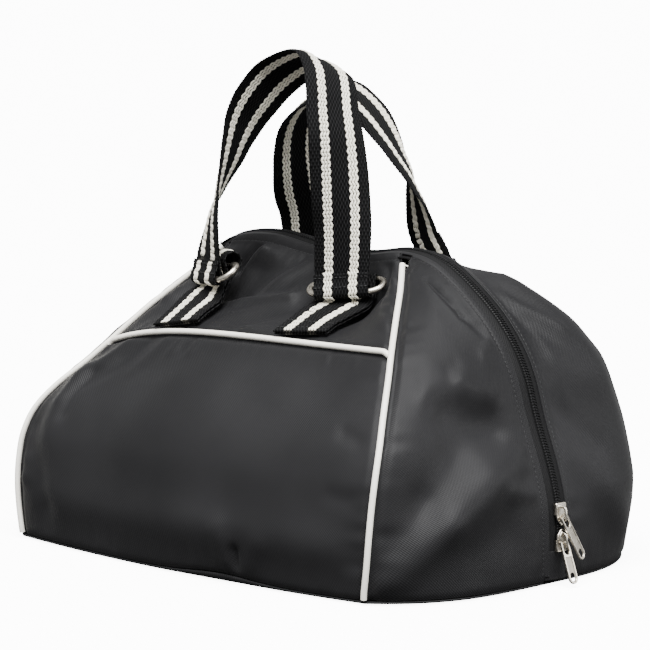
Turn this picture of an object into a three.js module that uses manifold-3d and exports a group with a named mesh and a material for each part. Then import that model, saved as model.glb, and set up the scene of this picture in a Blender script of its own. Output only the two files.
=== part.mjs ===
// Helmet bag: a soft zipped holdall of twill nylon with piped seams and two webbing handles.
// Millimetres, +Z up. X runs along the bag, its front faces -Y, and the base's underside is at Z 0.

import * as THREE from 'three';
import * as BufferGeometryUtils from 'three/addons/utils/BufferGeometryUtils.js';
import Module from 'manifold-3d';

const wasm = await Module();
wasm.setup();

// Driving dimensions

const WALL = 1.5;                 // cloth of the panels with its coating
const BASE_WALL = 2.0;            // cloth and board of the base
const SEAM_GAP = 0.3;             // slit between pieces that are sewn together
const PIPING_RADIUS = 2.2;
const PIPING_SEAT = 3.0;          // from a piped seam's middle to the cloth's edge
const ZIP_SEAT = 1;               // from a tape's edge to the cloth's edge
const RIM_TOP = 5.7;              // height of the base panel's turned-up rim
const BASE_SEAM = 6;              // height at which the walls start

const WEB_WIDTH = 40;
const WEB_THICK = 1.8;
const WEB_GAP = 0.35;             // between two layers of webbing, or webbing and wire

const ZIP_HALF = 12;              // half width of the zip with both tapes
const TAPE_THICK = 1.2;
const TAPE_DROP = 2.5;            // how far a tape's sewn edge lies below its chain edge
const CHAIN_HALF = 3;
const CHAIN_PROUD = 1.2;
const CHAIN_END = 22;             // height of the chain's lower ends

const RING = { straight: 37.5, radius: 8.25, wire: 2.2 };
const RING_TURN = 20;             // degrees that a ring's outer end points to the middle of the bag

// Tables: a row for each section

// Corner seam: height, half length and half depth at the front, the same at the back, share of the left sag
const LEFT_SAG = 18.5;
const CORNER_ROWS = [
  { z: 6, x: 165.5, y: 137, backX: 162, backY: 125.5, sag: 0 },
  { z: 23, x: 168, y: 137.3, backX: 165.5, backY: 127, sag: 0 },
  { z: 40, x: 169.5, y: 137, backX: 167.5, backY: 127, sag: 0 },
  { z: 60, x: 170, y: 135, backX: 167, backY: 125, sag: 0.15 },
  { z: 80, x: 169.5, y: 131, backX: 165.5, backY: 121.5, sag: 0.32 },
  { z: 100, x: 166, y: 123, backX: 162.5, backY: 115, sag: 0.49 },
  { z: 120, x: 157.5, y: 110, backX: 157, backY: 105, sag: 0.71 },
  { z: 140, x: 145, y: 92, backX: 150, backY: 92, sag: 0.89 },
  { z: 155, x: 136, y: 79.5, backX: 143, backY: 82, sag: 1 },
  { z: 172, x: 119, y: 57, backX: 127, backY: 61, sag: 0.6 },
  { z: 189, x: 101, y: 33, backX: 106, backY: 36, sag: 0.27 },
  { z: 206, x: 84, y: 12.3, backX: 84, backY: 12.3, sag: 0 },
];
const JOINT_ROW = 8;              // the row where the horizontal piping meets the corner seam

// Zip, from the middle of the ridge to the foot of an end, and how much lower the left end lies
const ZIP_ROWS = [
  { x: 0, z: 210, left: 0 },
  { x: 42, z: 207.5, left: -8 },
  { x: 82, z: 212, left: 1.5 },
  { x: 113, z: 206, left: 15 },
  { x: 145, z: 185.5, left: 16 },
  { x: 168, z: 163, left: 10 },
  { x: 183, z: 139, left: 4 },
  { x: 193.5, z: 108, left: 0 },
  { x: 205, z: 78, left: 0 },
  { x: 211.5, z: 54, left: 0 },
  { x: 213, z: 30, left: 0 },
  { x: 213, z: 6, left: 0 },
];

// Main folds: place on the panel (u along it, v up it), width and depth outwards
const FOLDS = {
  panel: [
    { u0: 0.3, v0: 0.1, u1: 0.22, v1: 0.8, width: 30, depth: -3 },
    { u0: 0.62, v0: 0.05, u1: 0.7, v1: 0.7, width: 34, depth: 2.5 },
  ],
  front_yoke: [
    { u0: 0.1, v0: 0.35, u1: 0.9, v1: 0.35, width: 34, depth: -6 },
    { u0: 0.12, v0: 0.65, u1: 0.28, v1: 0.68, width: 30, depth: -12 },
    { u0: 0.74, v0: 0.5, u1: 0.82, v1: 0.58, width: 26, depth: -5 },
    { u0: 0.82, v0: 0.66, u1: 0.9, v1: 0.74, width: 22, depth: -13 },
  ],
  back_yoke: [
    { u0: 0.1, v0: 0.4, u1: 0.9, v1: 0.4, width: 36, depth: -8 },
    { u0: 0.18, v0: 0.55, u1: 0.28, v1: 0.68, width: 30, depth: -6 },
    { u0: 0.74, v0: 0.5, u1: 0.82, v1: 0.58, width: 26, depth: -4 },
  ],
  right_front: [
    { u0: 0.28, v0: 0.55, u1: 0.72, v1: 0.51, width: 17, depth: 3 },
    { u0: 0.4, v0: 0.44, u1: 0.74, v1: 0.38, width: 16, depth: -6 },
    { u0: 0.1, v0: 0.06, u1: 0.8, v1: 0.3, width: 17, depth: 4 },
    { u0: 0.34, v0: 0.34, u1: 0.1, v1: 0.22, width: 15, depth: -2.5 },
  ],
  left_front: [
    { u0: 0.5, v0: 0.3, u1: 0.45, v1: 0.6, width: 24, depth: -4 },
  ],
  right_back: [
    { u0: 0.42, v0: 0.2, u1: 0.42, v1: 0.45, width: 45, depth: 8 },
    { u0: 0.42, v0: 0.56, u1: 0.42, v1: 0.74, width: 42, depth: 14 },
  ],
  left_back: [
    { u0: 0.45, v0: 0.3, u1: 0.45, v1: 0.6, width: 40, depth: 4 },
  ],
};

// Rings: half spacing, half depth and height of the middle, degrees that the outer end is raised and that the
// short side climbs with the yoke, and how far the tab stands off the far bar
const RINGS = {
  front: {
    right: { x: 55.4, y: 37.1, z: 187.8, rise: 5.5, tilt: 24, loop: 0 },
    left: { x: 62.7, y: 45.7, z: 189.6, rise: -3, tilt: 35, loop: 3.2 },
  },
  back: {
    right: { x: 63, y: 45, z: 191, rise: 8, tilt: 24, loop: 0 },
    left: { x: 63, y: 45, z: 191, rise: 8, tilt: 24, loop: 0 },
  },
};

// Handle middle line from the right foot to the left, and the turn and the lean of the webbing's width
const HANDLES = {
  front: [
    { x: 57, y: -43.2, z: 224.8, turn: 28, lean: 0 },
    { x: 56.2, y: -43.5, z: 245.1, turn: 42, lean: 0 },
    { x: 53.8, y: -42.6, z: 267.5, turn: 54, lean: 0 },
    { x: 50, y: -41, z: 290, turn: 66, lean: 0 },
    { x: 42.5, y: -36, z: 308, turn: 74, lean: 0 },
    { x: 36, y: -30.5, z: 321, turn: 80, lean: 0 },
    { x: 25, y: -22.5, z: 332, turn: 88, lean: 5 },
    { x: 7, y: -17, z: 339.5, turn: 98, lean: 20 },
    { x: -11, y: -17, z: 336, turn: 104, lean: 31 },
    { x: -29, y: -21, z: 325, turn: 92, lean: 37 },
    { x: -40, y: -28, z: 310, turn: 90, lean: 34 },
    { x: -47, y: -33.5, z: 295.5, turn: 93, lean: 18 },
    { x: -50, y: -38, z: 282, turn: 103, lean: 9 },
    { x: -53, y: -41.5, z: 267, turn: 112, lean: 4 },
    { x: -58, y: -45.5, z: 248, turn: 127, lean: 0 },
    { x: -61.5, y: -50, z: 227, turn: 143, lean: 0 },
  ],
  back: [
    { x: 53, y: 46, z: 214, turn: 165, lean: 0 },
    { x: 51.9, y: 43, z: 226, turn: 161, lean: 0 },
    { x: 51.1, y: 38.5, z: 242, turn: 149, lean: 0 },
    { x: 50.3, y: 32.5, z: 258, turn: 129, lean: 0 },
    { x: 45.5, y: 25.7, z: 273, turn: 117, lean: 0 },
    { x: 39.5, y: 23, z: 284, turn: 107, lean: 0 },
    { x: 32.5, y: 21, z: 294, turn: 95, lean: 4 },
    { x: 23.5, y: 20, z: 303, turn: 88, lean: 2 },
    { x: 11, y: 19, z: 312, turn: 88, lean: -3 },
    { x: -4, y: 18.5, z: 317, turn: 88, lean: -12 },
    { x: -21, y: 18.5, z: 314, turn: 88, lean: -24 },
    { x: -36, y: 20, z: 303, turn: 85, lean: -18 },
    { x: -46.5, y: 22, z: 288, turn: 80, lean: -6 },
    { x: -52.5, y: 25.5, z: 271, turn: 75, lean: 0 },
    { x: -55.5, y: 30, z: 256, turn: 66, lean: 0 },
    { x: -59, y: 37, z: 240, turn: 48, lean: 0 },
    { x: -60, y: 43, z: 225, turn: 28, lean: 0 },
  ],
};
const FLAP = 13;                  // length of the end that is sewn back on the handle

// Sliders: height of the middle, and the end that its point faces
const SLIDERS = {
  upper: { z: 47.5, point: -1 },
  lower: { z: 30, point: 1 },
};
const SLIDER = { length: 15, half: 5, plate: 1.6, lift: 1.5, bridgeHalf: 0.8, bridgeSpan: 10.5, bridgeRise: 7.3 };
const PIVOT_LEVEL = 4.5;          // height of a pull's bar over the tape
const PULL = { half: 4, thick: 1.7, bar: 0.85, eye: 8, hole: 2.1 };
const PULLS = {
  upper: { z: 45.7, length: 34, aside: 28, lean: 3 },
  lower: { z: 28.5, length: 27.8, aside: 0, lean: 18 },
};

// Colours

const cloth = (color, roughness) => new THREE.MeshStandardMaterial({ color, roughness, metalness: 0 });
const MATERIALS = {
  nylon: cloth(0x2b2b2e, 0.55),
  piping: cloth(0xe2dfd4, 0.6),
  webbing: cloth(0x1a1a1c, 0.85),
  zip: cloth(0x161618, 0.7),
  nickel: new THREE.MeshStandardMaterial({ color: 0xc9c3b8, roughness: 0.28, metalness: 1 }),
};

// Mesh helpers

const point = (x, y, z) => new THREE.Vector3(x, y, z);
const along = (origin, ...steps) => steps.reduce((p, [d, s]) => p.addScaledVector(d, s), origin.clone());
const radians = THREE.MathUtils.degToRad;
const lerp = THREE.MathUtils.lerp;

function signedVolume(points, index) {
  let sum = 0;
  for (let i = 0; i < index.length; i += 3) {
    const [a, b, c] = [points[index[i]], points[index[i + 1]], points[index[i + 2]]];
    sum += a.dot(b.clone().cross(c));
  }
  return sum;
}

// A closed body from points and triangles, with its faces turned outwards
function body(points, index) {
  const facing = signedVolume(points, index) < 0 ? index.toReversed() : index;
  const geometry = new THREE.BufferGeometry().setFromPoints(points);
  geometry.setIndex(facing);
  geometry.computeVertexNormals();
  return geometry;
}

const quad = (a, b, c, d) => [a, b, c, a, c, d];

// A closed body through a row of rings of equal length, with both ends capped from their middles
function loft(rings) {
  const size = rings[0].length;
  const points = rings.flat();
  const index = [];
  for (let i = 0; i + 1 < rings.length; i++) {
    for (let j = 0; j < size; j++) {
      const k = (j + 1) % size;
      index.push(...quad(i * size + j, i * size + k, (i + 1) * size + k, (i + 1) * size + j));
    }
  }
  for (const [ring, turn] of [[0, -1], [rings.length - 1, 1]]) {
    const middle = points.length;
    points.push(rings[ring].reduce((sum, p) => sum.add(p), point(0, 0, 0)).divideScalar(size));
    for (let j = 0; j < size; j++) {
      const edge = [ring * size + j, ring * size + ((j + 1) % size)];
      index.push(middle, ...(turn > 0 ? edge : edge.toReversed()));
    }
  }
  return body(points, index);
}

// A wall between two grids of points, closed along its four edges
function wall(outer, inner) {
  const columns = outer.length;
  const rows = outer[0].length;
  const points = [...outer.flat(), ...inner.flat()];
  const at = (side, i, j) => side * columns * rows + i * rows + j;
  const index = [];
  for (let i = 0; i + 1 < columns; i++) {
    for (let j = 0; j + 1 < rows; j++) {
      index.push(...quad(at(0, i, j), at(0, i + 1, j), at(0, i + 1, j + 1), at(0, i, j + 1)));
      index.push(...quad(at(1, i, j), at(1, i, j + 1), at(1, i + 1, j + 1), at(1, i + 1, j)));
    }
    const top = rows - 1;
    index.push(...quad(at(0, i, 0), at(1, i, 0), at(1, i + 1, 0), at(0, i + 1, 0)));
    index.push(...quad(at(0, i, top), at(0, i + 1, top), at(1, i + 1, top), at(1, i, top)));
  }
  for (let j = 0; j + 1 < rows; j++) {
    const end = columns - 1;
    index.push(...quad(at(0, 0, j), at(0, 0, j + 1), at(1, 0, j + 1), at(1, 0, j)));
    index.push(...quad(at(0, end, j), at(1, end, j), at(1, end, j + 1), at(0, end, j + 1)));
  }
  return body(points, index);
}

const bag = new THREE.Group();

function addPiece(name, geometry, material) {
  const mesh = new THREE.Mesh(geometry, material);
  mesh.name = name;
  bag.add(mesh);
  return mesh;
}

// Seam curves

const HALVES = [{ name: 'front', sy: -1 }, { name: 'back', sy: 1 }];
const ENDS = [{ name: 'right', sx: 1 }, { name: 'left', sx: -1 }];

const STEPS_PER_ROW = 20;         // fineness with which a corner seam's length is measured

const spline = (points) => new THREE.CatmullRomCurve3(points, false, 'catmullrom', 0.5);

// Half length and half depth of a corner row in the front or the back half
const corner = (row, sy) => (sy < 0 ? { x: row.x, y: row.y } : { x: row.backX, y: row.backY });

function cornerSeam(sx, sy) {
  const drop = (row) => (sx < 0 ? LEFT_SAG * row.sag : 0);
  const seam = spline(CORNER_ROWS.map((row) => {
    const { x, y } = corner(row, sy);
    return point(sx * x, sy * y, row.z - drop(row));
  }));
  seam.arcLengthDivisions = STEPS_PER_ROW * (CORNER_ROWS.length - 1);
  return seam;
}

// Share of a corner seam's length that lies below its joint with the horizontal piping
function jointShare(seam) {
  const lengths = seam.getLengths();
  return lengths[STEPS_PER_ROW * JOINT_ROW] / lengths.at(-1);
}

const zipHalf = ZIP_ROWS.map((row) => point(row.x, 0, row.z));
const zipLeft = ZIP_ROWS.slice(1).reverse().map((row) => point(-row.x, 0, row.z - row.left));
const zip = spline([...zipLeft, ...zipHalf]);

// Place on the zip: middle point, direction towards the right end, and outward direction
function zipFrame(s) {
  const middle = zip.getPointAt(s);
  const tangent = zip.getTangentAt(s);
  return { middle, tangent, out: point(-tangent.z, 0, tangent.x) };
}

function zipEdge(s, sy) {
  const { middle, out } = zipFrame(s);
  return along(middle, [out, -TAPE_DROP]).setY(sy * (ZIP_HALF + SEAM_GAP));
}

// Share of the zip's length at which a test on its middle point first holds, from the ridge to the right end
function zipShare(reached) {
  const steps = 4000;
  for (let i = steps / 2; i <= steps; i++) {
    if (reached(zip.getPointAt(i / steps))) return i / steps;
  }
  return 1;
}

const APEX = zipShare((p) => p.x >= CORNER_ROWS.at(-1).x);
const CHAIN_STOP = zipShare((p) => p.x > 200 && p.z <= CHAIN_END);

// Base outline: bowed long sides and round ends
const BASE_BOW = 13;
const BASE_END = ZIP_ROWS.at(-1).x;
const END_ROUNDNESS = { front: 4, back: 3 };

function baseSide(u, sy) {
  const foot = corner(CORNER_ROWS[0], sy);
  const x = lerp(-foot.x, foot.x, u);
  return point(x, sy * (foot.y + BASE_BOW * (1 - (x / foot.x) ** 2)), BASE_SEAM);
}

function baseEnd(y, sx) {
  const foot = corner(CORNER_ROWS[0], Math.sign(y));
  const swell = 1 - Math.abs(y / foot.y) ** (y < 0 ? END_ROUNDNESS.front : END_ROUNDNESS.back);
  return point(sx * lerp(foot.x, BASE_END - TAPE_DROP, swell), y, BASE_SEAM);
}

// Horizontal piping: bowed outwards a little, level to near the left corner, where it drops
const YOKE_BOW = 8;
const YOKE_DROP_POWER = 5;

function yokeSeam(u, sy) {
  const row = CORNER_ROWS[JOINT_ROW];
  const end = corner(row, sy);
  const x = lerp(-end.x, end.x, u);
  const drop = LEFT_SAG * (1 - u) ** YOKE_DROP_POWER;
  return point(x, sy * (end.y + YOKE_BOW * (1 - (x / end.x) ** 2)), row.z - drop);
}

// Panels

// A point of a panel that fills the space between four edges, bent so that it follows them all
function between(edges, u, v) {
  const { bottom, top, left, right } = edges;
  const across = left(v).lerp(right(v), u);
  const up = bottom(u).lerp(top(u), v);
  const corners = bottom(0).lerp(bottom(1), u).lerp(top(0).lerp(top(1), u), v);
  return across.add(up).sub(corners);
}

// Height of the folds at a place on a panel of the given width and height
function foldHeight(folds, u, v, width, height) {
  let sum = 0;
  for (const fold of folds) {
    const run = new THREE.Vector2((fold.u1 - fold.u0) * width, (fold.v1 - fold.v0) * height);
    const here = new THREE.Vector2((u - fold.u0) * width, (v - fold.v0) * height);
    const share = THREE.MathUtils.clamp(here.dot(run) / run.lengthSq(), 0, 1);
    const off = here.addScaledVector(run, -share).length() / fold.width;
    sum += fold.depth * Math.exp(-off * off);
  }
  return sum;
}

// Folds fade out towards the seams
const seamFade = (u, v) => Math.min(1, 5 * Math.min(u, 1 - u, v, 1 - v));

// Surface of a panel and its outward direction, as functions of u and v
function panelSurface(edges, folds, sy) {
  const width = edges.bottom(0).distanceTo(edges.bottom(1));
  const height = edges.left(0).distanceTo(edges.left(1));
  const step = 0.004;
  const smooth = (u, v) => between(edges, u, v);
  const outward = (u, v) => {
    const du = smooth(Math.min(u + step, 1), v).sub(smooth(Math.max(u - step, 0), v));
    const dv = smooth(u, Math.min(v + step, 1)).sub(smooth(u, Math.max(v - step, 0)));
    return du.cross(dv).multiplyScalar(-sy).normalize();
  };
  const surface = (u, v) => {
    const rise = foldHeight(folds, u, v, width, height) * seamFade(u, v);
    return along(smooth(u, v), [outward(u, v), rise]);
  };
  return { surface, outward };
}

// A panel's wall: margins give its distance to each seam in millimetres
function panelWall(edges, folds, sy, columns, rows, margins, reach = 1) {
  const { surface, outward } = panelSurface(edges, folds, sy);
  const height = edges.left(0).distanceTo(edges.left(1));
  const outer = [];
  const inner = [];
  for (let i = 0; i <= columns; i++) {
    outer.push([]);
    inner.push([]);
    for (let j = 0; j <= rows; j++) {
      const v = lerp(margins.bottom / height, reach - margins.top / height, j / rows);
      const width = edges.left(v).distanceTo(edges.right(v));
      const u = lerp(margins.left / width, 1 - margins.right / width, i / columns);
      outer[i].push(surface(u, v));
      inner[i].push(along(outer[i][j], [outward(u, v), -WALL]));
    }
  }
  return wall(outer, inner);
}

const yokeSurfaces = {};

for (const { name, sy } of HALVES) {
  const seams = { left: cornerSeam(-1, sy), right: cornerSeam(1, sy) };
  const share = { left: jointShare(seams.left), right: jointShare(seams.right) };
  const lower = (end) => (v) => seams[end].getPointAt(v * share[end]);
  const upper = (end) => (v) => seams[end].getPointAt(lerp(share[end], 1, v));

  const panelEdges = {
    bottom: (u) => baseSide(u, sy),
    top: (u) => yokeSeam(u, sy),
    left: lower('left'),
    right: lower('right'),
  };
  const piped = { left: PIPING_SEAT, right: PIPING_SEAT };
  const panelMargins = { ...piped, bottom: 0, top: PIPING_SEAT };
  addPiece(`${name}_panel`, panelWall(panelEdges, FOLDS.panel, sy, 16, 9, panelMargins), MATERIALS.nylon);

  const yokeEdges = {
    bottom: (u) => yokeSeam(u, sy),
    top: (u) => zipEdge(lerp(1 - APEX, APEX, u), sy),
    left: upper('left'),
    right: upper('right'),
  };
  const yokeFolds = FOLDS[`${name}_yoke`];
  const yokeMargins = { ...piped, bottom: PIPING_SEAT, top: ZIP_SEAT };
  addPiece(`${name}_yoke`, panelWall(yokeEdges, yokeFolds, sy, 18, 7, yokeMargins), MATERIALS.nylon);
  yokeSurfaces[name] = panelSurface(yokeEdges, yokeFolds, sy);

  for (const { name: end, sx } of ENDS) {
    const seam = seams[end];
    const zipSide = (v) => zipEdge(sx > 0 ? lerp(1, APEX, v) : lerp(0, 1 - APEX, v), sy);
    const foot = (u) => baseEnd(sy * lerp(corner(CORNER_ROWS[0], sy).y, ZIP_HALF + SEAM_GAP, u), sx);
    const sideEdges = {
      bottom: foot,
      top: (u) => seam.getPointAt(1).lerp(zipSide(1), u),
      left: (v) => seam.getPointAt(v),
      right: zipSide,
    };
    const margins = { left: PIPING_SEAT, right: ZIP_SEAT, bottom: 0, top: 0 };
    const reach = sx > 0 ? 0.965 : 0.93;
    const geometry = panelWall(sideEdges, FOLDS[`${end}_${name}`], sy * sx, 8, 14, margins, reach);
    addPiece(`side_panel_${end}_${name}`, geometry, MATERIALS.nylon);
  }
}

// Base panel: a shallow tray with a round lower edge

function baseOutline() {
  const loop = [];
  const sideSteps = 14;
  const endSteps = 12;
  for (const sy of [-1, 1]) {
    for (let i = 0; i < sideSteps; i++) {
      const u = i / sideSteps;
      loop.push(baseSide(sy < 0 ? u : 1 - u, sy));
    }
    const feet = [sy, -sy].map((side) => side * corner(CORNER_ROWS[0], side).y);
    for (let i = 0; i < endSteps; i++) {
      loop.push(baseEnd(lerp(...feet, i / endSteps), -sy));
    }
  }
  return loop;
}

function insetLoop(loop, inset, z) {
  return loop.map((p, i) => {
    const before = loop.at(i - 1);
    const after = loop[(i + 1) % loop.length];
    const run = after.clone().sub(before).normalize();
    return point(p.x - run.y * inset, p.y + run.x * inset, z);
  });
}

const TRAY_ROWS = [
  { inset: 7, z: 0 },
  { inset: 3.5, z: 0.5 },
  { inset: 1, z: 2.4 },
  { inset: 0, z: RIM_TOP },
  { inset: BASE_WALL, z: RIM_TOP },
  { inset: BASE_WALL + 1, z: 3.6 },
  { inset: 5.5, z: BASE_WALL + 0.4 },
  { inset: 8, z: BASE_WALL },
];
const outline = baseOutline();
addPiece('base_panel', loft(TRAY_ROWS.map((row) => insetLoop(outline, row.inset, row.z))), MATERIALS.nylon);

// Zip

const ZIP_STEPS = 44;

// A strip along the zip; the section gives its sideways place and its level over the tape
function zipStrip(section, from, to, steps) {
  const rings = [];
  for (let i = 0; i <= steps; i++) {
    const { middle, out } = zipFrame(lerp(from, to, i / steps));
    rings.push(section.map(([y, level]) => along(middle, [out, level]).setY(y)));
  }
  return loft(rings);
}

const tapeInner = CHAIN_HALF + SEAM_GAP;
for (const { name, sy } of HALVES) {
  const section = [
    [sy * tapeInner, 0],
    [sy * ZIP_HALF, -TAPE_DROP],
    [sy * ZIP_HALF, -TAPE_DROP - TAPE_THICK],
    [sy * tapeInner, -TAPE_THICK],
  ];
  addPiece(`zip_tape_${name}`, zipStrip(section, 1 - CHAIN_STOP, CHAIN_STOP, ZIP_STEPS), MATERIALS.zip);
}

const chainSection = [
  [-CHAIN_HALF, CHAIN_PROUD - 0.5],
  [-CHAIN_HALF + 1, CHAIN_PROUD],
  [CHAIN_HALF - 1, CHAIN_PROUD],
  [CHAIN_HALF, CHAIN_PROUD - 0.5],
  [CHAIN_HALF, -CHAIN_PROUD],
  [-CHAIN_HALF, -CHAIN_PROUD],
];
addPiece('zip_chain', zipStrip(chainSection, 1 - CHAIN_STOP, CHAIN_STOP, ZIP_STEPS), MATERIALS.zip);

const patchSection = [
  [-ZIP_HALF, -TAPE_DROP],
  [-tapeInner, 0],
  [tapeInner, 0],
  [ZIP_HALF, -TAPE_DROP],
  [ZIP_HALF, -TAPE_DROP - TAPE_THICK],
  [tapeInner, -TAPE_THICK],
  [-tapeInner, -TAPE_THICK],
  [-ZIP_HALF, -TAPE_DROP - TAPE_THICK],
];
const patchStart = CHAIN_STOP + SEAM_GAP / zip.getLength();
addPiece('zip_end_right', zipStrip(patchSection, patchStart, 1, 3), MATERIALS.nylon);
addPiece('zip_end_left', zipStrip(patchSection, 0, 1 - patchStart, 3), MATERIALS.nylon);

// Piping

const PIPING_SIDES = 6;

function piping(curve, from, to, steps) {
  const rings = [];
  for (let i = 0; i <= steps; i++) {
    const s = lerp(from, to, i / steps);
    const tangent = curve.getTangentAt(s);
    const a = point(-tangent.y, tangent.x, 0).normalize();
    const b = tangent.clone().cross(a);
    const ring = [];
    for (let k = 0; k < PIPING_SIDES; k++) {
      const turn = (2 * Math.PI * k) / PIPING_SIDES;
      ring.push(along(curve.getPointAt(s), [a, PIPING_RADIUS * Math.cos(turn)], [b, PIPING_RADIUS * Math.sin(turn)]));
    }
    rings.push(ring);
  }
  return loft(rings);
}

for (const { name, sy } of HALVES) {
  for (const { name: end, sx } of ENDS) {
    const geometry = piping(cornerSeam(sx, sy), 0.004, 0.982, 24);
    addPiece(`piping_${end}_${name}`, geometry, MATERIALS.piping);
  }
  const seam = new THREE.CatmullRomCurve3(Array.from({ length: 25 }, (_, i) => yokeSeam(i / 24, sy)));
  const clear = (2 * PIPING_RADIUS + SEAM_GAP) / seam.getLength();
  addPiece(`piping_yoke_${name}`, piping(seam, clear, 1 - clear, 18), MATERIALS.piping);
}

// Rings and webbing

// Ring as if on the right of the front: middle, long side, short side, the direction off the yoke, and both bars
const turnCos = Math.cos(radians(RING_TURN));
const turnSin = Math.sin(radians(RING_TURN));

function ringAxes(sx, sy) {
  const { x, y, z, rise, tilt, loop } = RINGS[sy < 0 ? 'front' : 'back'][sx > 0 ? 'right' : 'left'];
  const centre = point(x, -y, z);
  const long = point(turnCos, turnSin, Math.tan(radians(rise))).normalize();
  const off = long.clone().cross(point(-turnSin, turnCos, Math.tan(radians(tilt)))).normalize();
  const short = off.clone().cross(long);
  const nearBar = along(centre, [short, -RING.radius]);
  const farBar = along(centre, [short, RING.radius]);
  return { centre, long, short, off, nearBar, farBar, loop };
}

const mirrored = (p, sx, sy) => point(sx * p.x, -sy * p.y, p.z);

function ring(sx, sy) {
  const { centre, long, short, off } = ringAxes(sx, sy);
  const torus = new THREE.TorusGeometry(RING.radius, RING.wire, 6, 18);
  torus.rotateZ(Math.PI / 18);
  const merged = stripToPositions(torus);
  const places = merged.getAttribute('position');
  const points = [];
  for (let i = 0; i < places.count; i++) {
    const p = point(0, 0, 0).fromBufferAttribute(places, i);
    const pulled = p.x + (Math.sign(p.x) * RING.straight) / 2;
    const placed = along(centre, [long, pulled], [short, p.y], [off, p.z]);
    points.push(mirrored(placed, sx, sy));
  }
  return body(points, [...merged.getIndex().array]);
}

function stripToPositions(geometry) {
  const bare = geometry.clone();
  for (const name of Object.keys(bare.attributes)) {
    if (name !== 'position') bare.deleteAttribute(name);
  }
  return BufferGeometryUtils.mergeVertices(bare, 1e-4);
}

// A band of webbing through stations that give its middle and the direction of its width
function band(stations) {
  const rings = stations.map(({ middle, wide }, i) => {
    const before = stations[Math.max(i - 1, 0)].middle;
    const after = stations[Math.min(i + 1, stations.length - 1)].middle;
    const run = after.clone().sub(before).normalize();
    const thick = run.clone().cross(wide).normalize();
    const across = thick.clone().cross(run);
    const corners = [[-1, -1], [1, -1], [1, 1], [-1, 1]];
    return corners.map(([a, b]) => along(middle, [across, (a * WEB_WIDTH) / 2], [thick, (b * WEB_THICK) / 2]));
  });
  return loft(rings);
}

const FOLD_RADIUS = RING.wire + WEB_GAP + WEB_THICK / 2;
const LAYER = WEB_THICK + WEB_GAP;

// Turns of a fold round a bar, from one direction through another as far as the sweep goes
function foldTurns(bar, face, bulge, sweep, steps, radius = FOLD_RADIUS) {
  return Array.from({ length: steps + 1 }, (_, i) => {
    const turn = sweep * (i / steps);
    return along(bar, [face, radius * Math.cos(turn)], [bulge, radius * Math.sin(turn)]);
  });
}

// Handles: each end goes round its ring's near bar and is sewn back on the outside

function handleEnd(sx, sy, foot) {
  const axes = ringAxes(sx, sy);
  const bar = mirrored(axes.nearBar, sx, sy);
  const long = mirrored(axes.long, sx, sy);
  if (long.dot(foot.wide) < 0) long.negate();
  const rise = foot.middle.clone().sub(bar);
  const up = rise.addScaledVector(long, -rise.dot(long)).normalize();
  const outside = long.clone().cross(up);
  if (outside.y * sy < 0) outside.negate();
  const place = (off, height) => along(bar, [outside, off], [up, height]);
  const sewn = LAYER / 2;
  const layers = [
    place(sewn, FLAP), place(sewn, FLAP * 0.75), place(sewn + 0.6, FLAP * 0.5), place(FOLD_RADIUS - 0.5, 3.5),
    ...foldTurns(bar, outside, up.clone().negate(), Math.PI, 6),
    place(0.5 - FOLD_RADIUS, 3.5), place(-sewn - 0.6, FLAP * 0.5), place(-sewn, FLAP * 0.75), place(-sewn, FLAP),
  ];
  return layers.map((middle) => ({ middle, wide: long }));
}

function handle(rows, sy) {
  const arch = rows.map(({ x, y, z, turn, lean }) => {
    const flat = Math.cos(radians(lean));
    const wide = point(flat * Math.cos(radians(turn)), flat * Math.sin(radians(turn)), -Math.sin(radians(lean)));
    return { middle: point(x, y, z), wide };
  });
  const right = handleEnd(1, sy, arch[0]);
  const left = handleEnd(-1, sy, arch.at(-1)).reverse();
  const rough = [right.at(-1), ...arch, left[0]];
  const middles = spline(rough.map((station) => station.middle));
  const widths = spline(rough.map((station) => station.wide));
  const steps = (rough.length - 1) * 2;
  const stations = Array.from({ length: steps + 1 }, (_, i) => ({
    middle: middles.getPoint(i / steps),
    wide: widths.getPoint(i / steps).normalize(),
  }));
  return band([...right.slice(0, -1), ...stations, ...left.slice(1)]);
}

for (const { name, sy } of HALVES) {
  addPiece(`handle_${name}`, handle(HANDLES[name], sy), MATERIALS.webbing);
}

// Tabs: the band lies double on the yoke, passes under the ring's near bar and goes round its far bar

// Place of a tab up the yoke and along it, and how far its lower layer is lifted off the yoke
const TABS = {
  front: {
    right: [
      { v: 0.065, x: 56, lift: 2.2 }, { v: 0.2, x: 52.6, lift: 3 },
      { v: 0.3, x: 52, lift: 4 }, { v: 0.38, x: 52.6, lift: 5 },
    ],
    left: [
      { v: 0.045, x: -61.4, lift: 2.2 }, { v: 0.18, x: -63.8, lift: 3 },
      { v: 0.3, x: -64.6, lift: 4 }, { v: 0.38, x: -65, lift: 5 },
    ],
  },
  back: {
    right: [
      { v: 0.1, x: 53.5, lift: 2.7 }, { v: 0.2, x: 55.5, lift: 3.4 },
      { v: 0.3, x: 58.5, lift: 4.2 }, { v: 0.38, x: 62, lift: 5.2 },
    ],
    left: [
      { v: 0.1, x: -66.5, lift: 2.7 }, { v: 0.2, x: -65.5, lift: 3.4 },
      { v: 0.3, x: -64.5, lift: 4.2 }, { v: 0.38, x: -64, lift: 5.2 },
    ],
  },
};
const TAB_UNDER = [{ short: -7, off: -8.9 }, { short: 0.5, off: -5.6 }];
const TAB_OVER = [{ short: -0.5, off: -2.9 }, { short: -7, off: -6.6 }];

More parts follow.
